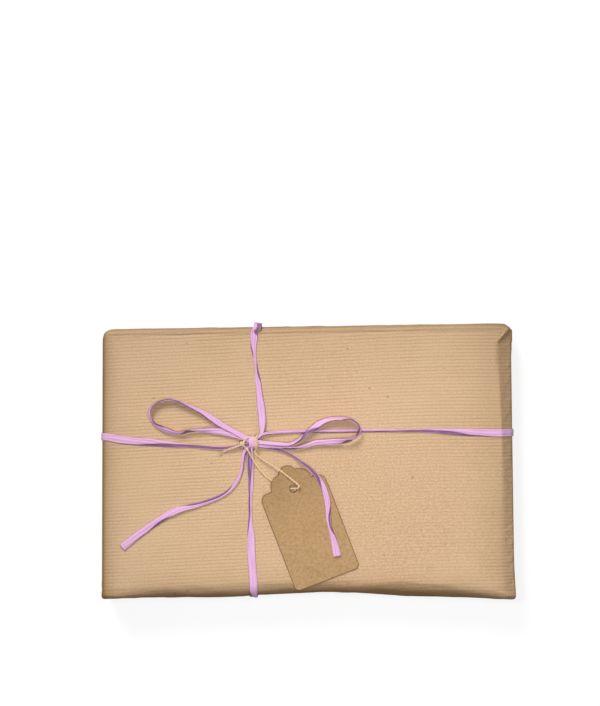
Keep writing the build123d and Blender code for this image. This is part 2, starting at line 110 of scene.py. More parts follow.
# Folds of the ends
BACKING_BEHIND = 0.16
TUCK_BEHIND = 0.04
TUCK_REACH = 34.0
FLAP_WAVE = 0.35
LOWER_FLAP_BELOW_FOLD = 5.5
UPPER_FLAP_REACH = 14.0
LOWER_FLAP_BULGE = 0.6
UPPER_FLAP_BULGE = 0.28
LAP_Y = -20.0
LAP_STEP = 0.15

# Raffia strip
NARROWEST_RAFFIA = 1.2
RAFFIA_WIDTH = 5.2
RAFFIA_PAPER_WIDTH = 6.4
RAFFIA_THICKNESS = 0.4
TISSUE_THICKNESS = 0.12
RAFFIA_SECTION_AREA = 1.9
RIM_RAFFIA_WIDTH = 4.4
FAR_RIM_RAFFIA_WIDTH = 4.4
FAR_RIM_LEAN = 2.0
NEAR_RIM_RAFFIA_WIDTH = 4.7
BAND_SEAT = 0.2
BAND_LIFT = BAND_SEAT + RAFFIA_THICKNESS / 2
FAR_RIM_LIFT = 2.4
NEAR_RIM_LIFT = 0.8
CHANNEL_DEPTH = 1.1
CHANNEL_WIDTH = 6.0
RAFFIA_LOWEST = 0.62
CROSSING_LIFT = 0.4
KNOT = np.array((-33.6, 11.2, PARCEL_HEIGHT))
KNOT_LIFT = 2.2
KNOT_LIFT_REACH = 17.0
LONG_BAND_LEFT_ASIDE = 3.2
LONG_BAND_RIGHT_ASIDE = 5.6
SHORT_BAND_FAR_ASIDE = 1.4
SHORT_BAND_NEAR_ASIDE = 0.9

# Gift tag
TAG_WIDTH = 41.0
TAG_LENGTH = 73.0
TAG_THICKNESS = 0.5
TAG_CORNER_RADIUS = 3.0
TAG_SHOULDER_RADIUS = 4.8
TAG_SIDE_LOBE_RADIUS = 7.8
TAG_SIDE_LOBE_WIDTH = 7.6
TAG_SIDE_LOBE_HEIGHT = 8.0
TAG_CROWN_WIDTH = 10.2
TAG_CROWN_HEIGHT = 3.7
TAG_HOLE_DIAMETER = 4.5
TAG_HOLE_FROM_TOP = 14.4
TAG_TURN = 21.0
TAG_TILT = 2.0
TAG_FOOT = np.array((45.7, -82.3, 0.1))
CARD_EDGE_ROUNDING = 0.12
CARD_EDGE_FADE = 0.45

# Painted shade along the rims, the near facet, the slanted end and the end folds of the paper, where
# they turn from the light: how dark each band of shade is, and how far in from the rim it reaches
LEFT_SHADES = ((0.6, 2.2), (0.42, 8.0))
FAR_SHADES = ((0.45, 2.2), (0.1, 24.0))
NEAR_SHADES = ((0.5, 5.5), (0.35, 12.0))
NEAR_RIM_SHADE = (0.35, 1.5)
FAR_FOLD_SHADE = (0.3, 0.7)
NEAR_FACET_SHADE = 0.2
SLANTED_END_SHADE = 0.22
SLANTED_END_CREASE_SHADE = (0.2, 12.0)
END_FOLD_SHADE = 0.55

# Stage: places and sizes in metres, power in watts, and the camera's sensor in millimetres
FLOOR_REACH = 2.0
FLOOR_GREY = (0.22, 0.22, 0.22, 1)
FLOOR_GLOW = 0.86
WORLD_LIGHT = 0.19
WINDOW = ((-1.6, 3.6, 3.4), 2.0, 196.0)
LAMP = ((0.03, -0.03, 0.30), 0.045, 0.3)
CAMERA_HEIGHT = 1.2
CAMERA_ASIDE = (-0.0048, 0.0648)
PICTURE_HEIGHT = 0.4236
SENSOR_WIDTH = 36.0
WHITE = (1, 1, 1, 1)

# Corners of the paper seen from above; the small figures are what it adds to the box or takes off it
NEAR_LEFT = (-PARCEL_LENGTH / 2, NEAR_LEFT_STEP - PARCEL_WIDTH / 2 - 0.4)
NEAR_RIGHT = (PARCEL_LENGTH / 2 + 0.5, -PARCEL_WIDTH / 2 - 0.3)
FAR_RIGHT = (PARCEL_LENGTH / 2 - RIGHT_EDGE_LEAN + 0.7, PARCEL_WIDTH / 2 - 0.6)
FAR_LEFT = (LEFT_EDGE_LEAN - PARCEL_LENGTH / 2, PARCEL_WIDTH / 2 - 0.6 - FAR_EDGE_SLOPE)


def linear(hex_colour):
    """An sRGB hex colour as linear red, green and blue."""
    shares = [int(hex_colour[place : place + 2], 16) / 255 for place in (1, 3, 5)]
    return tuple(c / 12.92 if c <= 0.04045 else ((c + 0.055) / 1.055) ** 2.4 for c in shares)


def rgba(colour):
    """An opaque colour from its red, green and blue."""
    return (*colour, 1.0)


def add_node(tree, kind, inputs=None, **settings):
    """Adds a node with its settings, and sets or links its inputs by name or number."""
    node = tree.nodes.new(kind)
    for name, value in settings.items():
        setattr(node, name, value)
    for name, value in (inputs or {}).items():
        if isinstance(value, bpy.types.NodeSocket):
            tree.links.new(value, node.inputs[name])
        else:
            node.inputs[name].default_value = value
    return node


def metres(points):
    """Points in millimetres as metres."""
    return np.asarray(points, dtype=float) * MM


def grid_faces(rows, columns, closed, first=0):
    """Quads between rows of points; closed joins the last row to the first."""
    faces = []
    for row in range(rows if closed else rows - 1):
        here = first + row * columns
        there = first + (row + 1) % rows * columns
        for column in range(columns - 1):
            faces.append((here + column, here + column + 1, there + column + 1, there + column))
    return faces


def plain_mesh(name, grids, values, caps=()):
    """One mesh of several grids of points in millimetres, with a named value for each point."""
    points, faces = [], []
    for grid, closed in grids:
        faces += grid_faces(grid.shape[0], grid.shape[1], closed, len(points))
        points += metres(grid.reshape(-1, 3)).tolist()
    mesh = bpy.data.meshes.new(name)
    mesh.from_pydata(points, [], faces + list(caps))
    for key, numbers in values.items():
        attribute = mesh.attributes.new(key, "FLOAT", "POINT")
        attribute.data.foreach_set("value", np.concatenate([n.ravel() for n in numbers]))
    mesh.shade_smooth()
    return mesh


def shown(name, mesh):
    """An object at the origin that holds a mesh."""
    piece = bpy.data.objects.new(name, mesh)
    bpy.context.scene.collection.objects.link(piece)
    return piece


def finished(piece, name):
    """The plain mesh that a piece's modifiers give, as a new object in its place."""
    depsgraph = bpy.context.evaluated_depsgraph_get()
    mesh = bpy.data.meshes.new_from_object(piece.evaluated_get(depsgraph))
    mesh.name = name
    bpy.data.objects.remove(piece)
    return shown(name, mesh)


def with_nodes(piece, tree, inputs):
    """Gives a piece a tree of geometry nodes, with its named inputs set."""
    modifier = piece.modifiers.new(tree.name, "NODES")
    modifier.node_group = tree
    for item in tree.interface.items_tree:
        if item.item_type == "SOCKET" and item.in_out == "INPUT" and item.name in inputs:
            modifier[item.identifier] = inputs[item.name]


def new_tree(name, inputs):
    """A tree of geometry nodes with a geometry input and output and further named inputs."""
    tree = bpy.data.node_groups.new(name, "GeometryNodeTree")
    tree.interface.new_socket("Geometry", in_out="INPUT", socket_type="NodeSocketGeometry")
    for label, kind in inputs.items():
        tree.interface.new_socket(label, in_out="INPUT", socket_type=kind)
    tree.interface.new_socket("Geometry", in_out="OUTPUT", socket_type="NodeSocketGeometry")
    return tree, tree.nodes.new("NodeGroupInput").outputs


def end_tree(tree, geometry, material):
    """Ends a tree with real meshes and their material."""
    real = add_node(tree, "GeometryNodeRealizeInstances", {"Geometry": geometry})
    painted = add_node(
        tree, "GeometryNodeSetMaterial", {"Geometry": real.outputs[0], "Material": material}
    )
    add_node(tree, "NodeGroupOutput", {0: painted.outputs[0]})


def seat(piece, slot, *nodes):
    """The piece rides on the parcel and stands for its solids, which are hidden; its slot is not used.
    """
    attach(piece, "root")
    if nodes:
        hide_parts(*nodes)


def finish_node(name, material):
    """Gives one of the solids its material."""
    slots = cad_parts[name].data.materials
    slots.clear()
    slots.append(material)


# Materials


def new_material(name):
    """A material with an empty tree, and that tree."""
    material = bpy.data.materials.new(name)
    material.use_nodes = True
    tree = material.node_tree
    tree.nodes.clear()
    return material, tree


def surface(tree, colour, normal, **constants):
    """Ends a material with its shader, whose constants are set on its own sockets."""
    inputs = {"Base Color": colour, **constants}
    if normal is not None:
        inputs["Normal"] = normal
    shader = add_node(tree, "ShaderNodeBsdfPrincipled", inputs)
    add_node(tree, "ShaderNodeOutputMaterial", {"Surface": shader.outputs[0]})


def kraft_wrapping_paper(look):
    """Ribbed kraft paper, machine glazed on one side and pressed between rollers.

    The rollers leave fine grooves, whose foot is painted darker as shade, and the long brown fibres lie
    along them.
    """
    material, tree = new_material("ribbed_kraft_paper")
    place = add_node(tree, "ShaderNodeTexCoord").outputs["Object"]
    groove = add_node(tree, "ShaderNodeAttribute", attribute_name="groove").outputs["Fac"]
    ribbed = add_node(tree, "ShaderNodeAttribute", attribute_name="rib_strength").outputs["Fac"]
    rim_shade_share = add_node(tree, "ShaderNodeAttribute", attribute_name="rim").outputs["Fac"]
    cloud = add_node(
        tree, "ShaderNodeTexNoise", {"Vector": place, "Scale": 1 / (45 * MM), "Detail": 3.0}
    ).outputs[0]
    along = add_node(
        tree, "ShaderNodeMapping", {"Vector": place, "Scale": (0.6, 1.0, 1.0)}
    ).outputs[0]
    fibre = add_node(
        tree,
        "ShaderNodeTexNoise",
        {"Vector": along, "Scale": 1 / (0.75 * MM), "Detail": 4.0, "Roughness": 0.75},
    ).outputs[0]
    fleck = add_node(
        tree, "ShaderNodeTexVoronoi", {"Vector": along, "Scale": 1 / (9 * MM), "Randomness": 1.0}
    ).outputs["Distance"]
    # Fibres show most where the ribs are rubbed flat
    showing = add_node(
        tree,
        "ShaderNodeMapRange",
        {"Value": ribbed, "From Min": 0.5, "From Max": 1.0, "To Min": 0.8, "To Max": 0.45},
    ).outputs[0]
    fibre_share = add_node(
        tree,
        "ShaderNodeMapRange",
        {"Value": fibre, "From Min": 0.38, "From Max": 0.66, "To Max": showing},
    ).outputs[0]
    # Painted shade at the foot of each groove
    groove_shade_share = add_node(
        tree, "ShaderNodeMapRange", {"Value": groove, "From Max": 1.0, "To Max": look.groove_shade_darkness}
    ).outputs[0]
    fleck_share = add_node(
        tree,
        "ShaderNodeMapRange",
        {"Value": fleck, "From Min": 0.03, "From Max": 0.07, "To Min": 0.55, "To Max": 0.0},
    ).outputs[0]
    layers = (
        (cloud, look.paper_shade),
        (fibre_share, look.paper_fibre),
        (groove_shade_share, look.paper_groove_shade),
        (fleck_share, look.paper_fleck),
    )
    colour = rgba(look.paper_light)
    for share, over in layers:
        colour = add_node(
            tree, "ShaderNodeMix", {0: share, 6: colour, 7: rgba(over)}, data_type="RGBA"
        ).outputs[2]
    # Painted shade: the rim value multiplies the colour by the rim tint, darkening the paper where it
    # turns from the light
    rim_shaded = add_node(
        tree,
        "ShaderNodeMix",
        {0: rim_shade_share, 6: colour, 7: rgba(look.paper_rim_shade)},
        data_type="RGBA",
        blend_type="MULTIPLY",
    ).outputs[2]
    relief = add_node(
        tree, "ShaderNodeBump", {"Height": fibre, "Strength": 0.08, "Distance": 0.1 * MM}
    ).outputs[0]
    surface(tree, rim_shaded, relief, **{"Roughness": 0.72, "Specular IOR Level": 0.3})
    return material


def crinkled_paper_raffia(look):
    """Paper raffia, a dyed tissue strip that was twisted into a cord and opened out again.

    The twist leaves long creases; their crests are painted pale as highlight, and their folds and edges
    are painted deep mauve as shade.
    """
    material, tree = new_material("paper_raffia")
    crest = add_node(tree, "ShaderNodeAttribute", attribute_name="crest").outputs["Fac"]
    strip = add_node(tree, "ShaderNodeUVMap", uv_map="strip").outputs[0]
    long_way = add_node(
        tree, "ShaderNodeMapping", {"Vector": strip, "Scale": (1.5, 0.06, 1.0)}
    ).outputs[0]
    streak = add_node(
        tree, "ShaderNodeTexNoise", {"Vector": long_way, "Scale": 1.0, "Detail": 4.0, "Roughness": 0.6}
    ).outputs[0]
    streaked = add_node(
        tree,
        "ShaderNodeMapRange",
        {"Value": streak, "From Min": 0.3, "From Max": 0.7, "To Min": -0.26, "To Max": 0.26},
    ).outputs[0]
    mixed = add_node(tree, "ShaderNodeMath", {0: crest, 1: streaked}, operation="ADD").outputs[0]
    # Painted light and shade: the crest value runs from the fold shade through the flat colour to the
    # crest highlight
    ramp = add_node(tree, "ShaderNodeValToRGB", {"Fac": mixed})
    stops = ramp.color_ramp.elements
    stops[0].position, stops[0].color = 0.0, rgba(look.raffia_fold_shade)
    stops[1].position, stops[1].color = 0.85, rgba(look.raffia_crest_highlight)
    middle = stops.new(0.45)
    middle.color = rgba(look.raffia_flat)
    relief = add_node(
        tree, "ShaderNodeBump", {"Height": streak, "Strength": 0.5, "Distance": 0.15 * MM}
    ).outputs[0]
    finish = {"Roughness": 0.5, "Specular IOR Level": 0.4, "Sheen Weight": 0.15}
    surface(tree, ramp.outputs[0], relief, **finish)
    return material


def kraft_tag_card(look):
    """Unbleached kraft card, pressed from recycled pulp, with dark bark flecks and pale fibres."""
    material, tree = new_material("kraft_card")
    place = add_node(tree, "ShaderNodeTexCoord").outputs["Object"]
    cloud = add_node(
        tree, "ShaderNodeTexNoise", {"Vector": place, "Scale": 1 / (12 * MM), "Detail": 4.0}
    ).outputs[0]
    pulp = add_node(
        tree,
        "ShaderNodeTexNoise",
        {"Vector": place, "Scale": 1 / (1.6 * MM), "Detail": 4.0, "Roughness": 0.8},
    ).outputs[0]
    pulp_share = add_node(
        tree, "ShaderNodeMapRange", {"Value": pulp, "From Min": 0.4, "From Max": 0.68, "To Max": 0.6}
    ).outputs[0]
    # The head of the tag, round its hole, is painted a little darker, as shade
    along = tag_axes()[1]
    from_foot = add_node(
        tree, "ShaderNodeVectorMath", {0: place, 1: tuple(along)}, operation="DOT_PRODUCT"
    ).outputs["Value"]
    foot = float(np.dot(metres(KNOT + TAG_FOOT), along))
    head_shade = add_node(
        tree,
        "ShaderNodeMapRange",
        {"Value": from_foot, "From Min": foot + 40 * MM, "From Max": foot + 62 * MM, "To Max": 0.2},
    ).outputs[0]
    # The edge colour is darker card on the cut itself, and painted shade that fades in over the faces
    # beside it; the head shade is painted with it
    cut = add_node(tree, "ShaderNodeAttribute", attribute_name="edge").outputs["Fac"]
    dark = add_node(tree, "ShaderNodeMath", {0: cut, 1: head_shade}, operation="MAXIMUM").outputs[0]
    layers = ((cloud, look.card_shade), (pulp_share, look.card_fleck), (dark, look.card_edge_and_shade))
    colour = rgba(look.card_light)
    for share, over in layers:
        colour = add_node(
            tree, "ShaderNodeMix", {0: share, 6: colour, 7: rgba(over)}, data_type="RGBA"
        ).outputs[2]
    relief = add_node(
        tree, "ShaderNodeBump", {"Height": pulp, "Strength": 0.3, "Distance": 0.1 * MM}
    ).outputs[0]
    surface(tree, colour, relief, **{"Roughness": 0.85, "Specular IOR Level": 0.25})
    return material


def jute_yarn(look):
    """Jute yarn, two plies twisted together, with coarse golden fibres that stand off it."""
    material, tree = new_material("jute_yarn")
    place = add_node(tree, "ShaderNodeTexCoord").outputs["Object"]
    fibre = add_node(
        tree, "ShaderNodeTexNoise", {"Vector": place, "Scale": 1 / (0.5 * MM), "Detail": 4.0}
    ).outputs[0]
    share = add_node(
        tree, "ShaderNodeMapRange", {"Value": fibre, "From Min": 0.35, "From Max": 0.65}
    ).outputs[0]
    shades = {0: share, 6: rgba(look.jute_shade), 7: rgba(look.jute_light)}
    colour = add_node(tree, "ShaderNodeMix", shades, data_type="RGBA").outputs[2]
    finish = {"Roughness": 0.85, "Specular IOR Level": 0.25, "Sheen Weight": 0.2}
    surface(tree, colour, None, **finish)
    return material


def clear_adhesive_tape(look):
    """Clear polypropylene packing tape, cast smooth, which shows the paper through a glossy film."""
    material, tree = new_material("clear_tape")
    place = add_node(tree, "ShaderNodeTexCoord").outputs["Object"]
    ripple = add_node(
        tree, "ShaderNodeTexNoise", {"Vector": place, "Scale": 1 / (6 * MM), "Detail": 2.0}
    ).outputs[0]
    relief = add_node(
        tree, "ShaderNodeBump", {"Height": ripple, "Strength": 0.3, "Distance": 0.2 * MM}
    ).outputs[0]
    surface(tree, rgba(look.tape), relief, **{"Roughness": 0.2, "Alpha": 0.13})
    return material


def looked_at(tree):
    """One where the camera looks straight, in a reflection or through glass, and zero for light."""
    rays = add_node(tree, "ShaderNodeLightPath").outputs
    seen = rays["Is Camera Ray"]
    for ray in ("Is Glossy Ray", "Is Transmission Ray"):
        seen = add_node(tree, "ShaderNodeMath", {0: seen, 1: rays[ray]}, operation="MAXIMUM").outputs[0]
    return seen


def studio_floor():
    """A white paper sweep: white to the camera and in reflections, and with the soft shadow kept."""
    material, tree = new_material("white_floor")
    glow = add_node(
        tree, "ShaderNodeMath", {0: looked_at(tree), 1: FLOOR_GLOW}, operation="MULTIPLY"
    ).outputs[0]
    shaded = add_node(tree, "ShaderNodeBsdfDiffuse", {"Color": FLOOR_GREY}).outputs[0]
    light = add_node(tree, "ShaderNodeEmission", {"Color": WHITE, "Strength": glow}).outputs[0]
    both = add_node(tree, "ShaderNodeAddShader", {0: shaded, 1: light}).outputs[0]
    add_node(tree, "ShaderNodeOutputMaterial", {"Surface": both})
    return material


# Form of the wrapped box


def between(value, start, end):
    """The share of the way from start to end."""
    return (value - start) / (end - start)


def mapped(value, start, end, first, last):
    """The place that lies from first to last as value lies from start to end."""
    return first + (last - first) * between(value, start, end)


def bell(value, width):
    """One at zero, fading to both sides over a width."""
    return np.exp(-((value / width) ** 2))


def smooth_step(share):
    """From zero to one with a soft start and end."""
    share = np.clip(share, 0, 1)
    return share * share * (3 - 2 * share)


def ramp(value, softness):
    """Zero below zero and rising with the value above it, with a soft bend between."""
    return (value + np.sqrt(value**2 + softness**2)) / 2


def rim(distance, width, height):
    """How far a rounded rim has dropped, at a distance in from its edge."""
    inner = np.clip(1 - distance / width, 0, 1)
    return height * (1 - np.sqrt(1 - inner**2))


def left_x(y):
    """The left edge, which leans a little."""
    return mapped(y, NEAR_LEFT[1], FAR_LEFT[1], NEAR_LEFT[0], FAR_LEFT[0])


def right_x(y):
    """The right edge: its near corner sticks out, and so does the ear of paper at its far corner."""
    near_corner = CORNER_FLARE * bell(y - NEAR_RIGHT[1], 14)
    nipped_in = EAR_NIP * bell(y - EAR_NIP_Y, 2.0)
    ear_out = EAR_OUT * smooth_step(between(y, 62, 73))
    straight = mapped(y, NEAR_RIGHT[1], FAR_RIGHT[1], NEAR_RIGHT[0], FAR_RIGHT[0])
    return straight + near_corner - nipped_in + ear_out


def right_wall_behind(y, z):
    """How far the wall of the right end stands back under its rim, away from both corners."""
    inside = smooth_step(between(y, -80, -68)) * smooth_step(between(y, 70, 58))
    return RIGHT_WALL_BEHIND * inside * smooth_step(between(z, 24.5, 21.5))


def far_y(x):
    """The far edge, which runs a little askew."""
    return mapped(x, FAR_LEFT[0], FAR_RIGHT[0], FAR_LEFT[1], FAR_RIGHT[1])


def near_y(x):
    """The near edge, which the raffia's pull has dented softly, and whose right corner sticks out."""
    places, depths = zip(*NEAR_DENT)
    shifts = np.linspace(-NEAR_DENT_SOFTNESS, NEAR_DENT_SOFTNESS, 7)
    dent = sum(np.interp(x + shift, places, depths) for shift in shifts) / len(shifts)
    corner = CORNER_FLARE * bell(x - NEAR_RIGHT[0], 12) / 2
    return mapped(x, NEAR_LEFT[0], NEAR_RIGHT[0], NEAR_LEFT[1], NEAR_RIGHT[1]) + dent - corner


def slack(x):
    """How slack the paper is over the near edge: drawn tight at both corners, and loose between."""
    return smooth_step(between(x, -124, -84)) * smooth_step(between(x, 126, 86))


def near_rim(x):
    """How far the near edge's rounding reaches in over the top, and down the side."""
    loose = slack(x) * (1 - 0.4 * smooth_step(between(x, 30, 60)))
    return 3.0 + 5.5 * loose, 3.5 + 4.5 * loose


def facet_reach(x):
    """How far in from the near edge the flat facet reaches that the slack paper makes there."""
    places, reaches = zip(*NEAR_FACET)
    return np.interp(x, places, reaches)


def near_facet(x, inwards):
    """The drop of the flat facet beside the near rim, at its right."""
    slope = NEAR_FACET_SLOPE * ramp(facet_reach(x) - inwards, 0.7)
    return slope * smooth_step(between(x, 22, 45))


def past_pleat(x, y):
    """How far a place lies past the slanted fold of the pleat, down the slanted end."""
    turn = radians(90 - PLEAT_TURN)
    return (x - PLEAT_BEND[0]) * sin(turn) - (y - PLEAT_BEND[1]) * cos(turn)


def ear(x, y):
    """One on the ear of paper that is folded over the slanted end at the far right, else zero."""
    beyond_bend = smooth_step(between(y, PLEAT_BEND[1] - 1.5, PLEAT_BEND[1] + 0.5))
    return smooth_step(0.5 - past_pleat(x, y) / 1.2) * beyond_bend


def pleat_drop(x, y):
    """The step down from the ear and from the paper's edge that runs on from it."""
    inside = np.minimum(past_pleat(x, y), x - PLEAT_BEND[0])
    step = PLEAT_STEP * smooth_step(inside / 0.7) - PLEAT_LIP * bell(inside + 0.5, 0.6)
    return step * smooth_step(between(y, 44, 66))


def bevel_width(y):
    """How far the slanted right end reaches in over the top."""
    return BEVEL_WIDTH + (BEVEL_WIDTH_FAR - BEVEL_WIDTH) * smooth_step(between(y, 0, FAR_RIGHT[1]))


def softness_of_end(y):
    """How soft the crease of the slanted end is: zero at the far side, one at the near side."""
    return smooth_step(between(y, 22, -55))


def bevel_drop(x, y):
    """How far the slack paper has dropped over the right end: crisp far off, soft at the near end."""
    width = bevel_width(y)
    softness = 0.35 + 3.4 * softness_of_end(y)
    inwards = right_x(y) - x
    slant = BEVEL_DROP / width * (ramp(width - inwards, softness) - ramp(-inwards, softness))
    return slant * (1 - 0.8 * ear(x, y)) + rim(inwards, BEVEL_EDGE_WIDTH, BEVEL_EDGE_DROP)


def top_height(x, y):
    """Height of the paper's top, over the left rim, the slanted right end and its slack folds."""
    drop = bevel_drop(x, y) + pleat_drop(x, y) + rim(x - left_x(y), TOP_EDGE_RADIUS, TOP_EDGE_RADIUS)
    # A wavy fold runs along the far rim, deeper in some places than in others
    wavy = np.sin(x / 7.3) + 0.6 * np.sin(x / 3.1 + 1)
    fold = bell(far_y(x) - y - FAR_FOLD_IN - FAR_FOLD_WAVE * wavy, FAR_FOLD_WIDTH)
    drop = drop + FAR_FOLD_DEPTH * fold * (0.6 + 0.4 * np.sin(x / 17))
    return PARCEL_HEIGHT - drop - near_facet(x, y - near_y(x))


def paper_height(x, y):
    """Height of the paper's top with its near and far rims."""
    wide, high = near_rim(x)
    near = rim(y - near_y(x), wide, high)
    return top_height(x, y) - near - rim(far_y(x) - y, TOP_EDGE_RADIUS, TOP_EDGE_RADIUS)


def column_places():
    """How far the mesh's columns lie from the left end, as shares of the length."""
    left = [0, 0.06, 0.25, 0.55, 1.0, 1.6, 2.3, 3.2, 4.4, 6, 8.5, 12]
    right = [12, 10, 8.5, 7.6, 7.0, 6.5, 6.2, 5.9, 5.5, 5, 4.3]
    right += [3.5, 2.7, 2.0, 1.5, 1.0, 0.6, 0.3, 0.12, 0.03, 0]
    band = KNOT[0] + PARCEL_LENGTH / 2
    spans = [
        np.array(left),
        np.linspace(16, band - 7, 18),
        np.linspace(band - 6, band + 9, 20),
        np.linspace(band + 10.5, PARCEL_LENGTH - 15, 38),
        PARCEL_LENGTH - np.array(right),
    ]
    return np.concatenate(spans) / PARCEL_LENGTH


def channel_depth(x, y):
    """How far the raffia is pulled into the underside."""
    long_aside = mapped(x, NEAR_LEFT[0], NEAR_RIGHT[0], LONG_BAND_LEFT_ASIDE, LONG_BAND_RIGHT_ASIDE)
    short_aside = mapped(y, NEAR_LEFT[1], FAR_LEFT[1], SHORT_BAND_NEAR_ASIDE, SHORT_BAND_FAR_ASIDE)
    across = np.minimum(np.abs(y - KNOT[1] - long_aside), np.abs(x - KNOT[0] - short_aside))
    wall = np.clip(between(across, CHANNEL_WIDTH / 2 + 0.9, CHANNEL_WIDTH / 2), 0, 1)
    return CHANNEL_DEPTH * wall


def wrap_grid():
    """The sheet round the box: one row after another round it, from the lap on its underside."""
    shares = column_places()
    nominal = NEAR_LEFT[0] + shares * PARCEL_LENGTH
    from_left, from_right = shares * PARCEL_LENGTH, (1 - shares) * PARCEL_LENGTH

    def at_ends(radius):
        return rim(from_left, radius, radius) + rim(from_right, radius, radius)

    near = near_y(nominal) + at_ends(SHARP_CORNER_RADIUS)
    far = far_y(nominal) - rim(from_left, FAR_LEFT_RADIUS, FAR_LEFT_RADIUS)
    far = far - FAR_RIGHT_CUT_SLOPE * ramp(FAR_RIGHT_CUT - from_right, 0.8)
    base = UNDERSIDE + at_ends(BASE_EDGE_RADIUS)
    lap = base + LAP_STEP
    wide, high = near_rim(nominal)

    def across(y, behind=0.0):
        return left_x(y) + shares * (right_x(y) - behind - left_x(y))

    rows = []

    def add(y, z):
        rows.append(np.stack([across(y, right_wall_behind(y, z)), y, z], axis=1))

    radius = BASE_EDGE_RADIUS
    for t in np.linspace(0, 1, NEAR_BASE_ROWS):
        y = LAP_Y + (near + radius - LAP_Y) * t
        add(y, lap + channel_depth(across(y), y))
    for angle in np.radians(np.linspace(0, 90, BASE_RIM_ROWS)[1:-1]):
        add(near + radius * (1 - sin(angle)), lap + radius * (1 - cos(angle)))
    near_wall_top = top_height(across(near + wide), near + wide) - high
    for t in np.linspace(0, 1, WALL_ROWS):
        add(near, lap + radius + (near_wall_top - lap - radius) * t)
    for angle in np.radians(np.linspace(0, 90, NEAR_RIM_ROWS)[1:-1]):
        y = near + wide * (1 - cos(angle))
        add(y, top_height(across(y), y) - high * (1 - sin(angle)))
    for t in np.linspace(0, 1, TOP_ROWS):
        y = near + wide + (far - TOP_EDGE_RADIUS - near - wide) * t
        add(y, top_height(across(y), y))
    for angle in np.radians(np.linspace(0, 90, FAR_RIM_ROWS)[1:-1]):
        y = far - TOP_EDGE_RADIUS * (1 - sin(angle))
        add(y, top_height(across(y), y) - TOP_EDGE_RADIUS * (1 - cos(angle)))
    far_wall_top = top_height(across(far), far) - TOP_EDGE_RADIUS
    for t in np.linspace(0, 1, WALL_ROWS):
        add(far, far_wall_top + (base + radius - far_wall_top) * t)
    for angle in np.radians(np.linspace(0, 90, BASE_RIM_ROWS)[1:-1]):
        add(far - radius * (1 - cos(angle)), base + radius * (1 - sin(angle)))
    for t in np.linspace(0, 1, FAR_BASE_ROWS):
        y = far - radius + (LAP_Y - far + radius) * t
        add(y, base + channel_depth(across(y), y))
    grid = np.array(rows)
    # Both ends turn in, well behind the folds that cover them
    turned_in = grid[:, [0, -1]] + ((END_TURNED_IN, 0, 0), (-END_TURNED_IN, 0, 0))
    return np.concatenate([turned_in[:, :1], grid, turned_in[:, 1:]], axis=1)


def rib_place(grid, shift):
    """How far round the sheet each point lies, measured across its ribs from the middle of the top."""
    steps = np.linalg.norm(np.diff(grid[:, :, 1:], axis=0), axis=2)
    round_it = np.vstack([np.zeros(grid.shape[1]), np.cumsum(steps, axis=0)])
    on_top = grid[:, :, 2] > PARCEL_HEIGHT / 2
    half = grid.shape[1] // 2
    middle = np.argmin(np.abs(grid[:, half, 1]) + 1000 * ~on_top[:, half])
    across = round_it - round_it[middle] + grid[middle, :, 1]
    return across - shift(grid[:, :, 0])


def rib_shift(x):
    """The sheet was laid a little askew, so its ribs rise to the right, and level out there."""
    return 0.055 * (x - ramp(x - 70, 30.0))


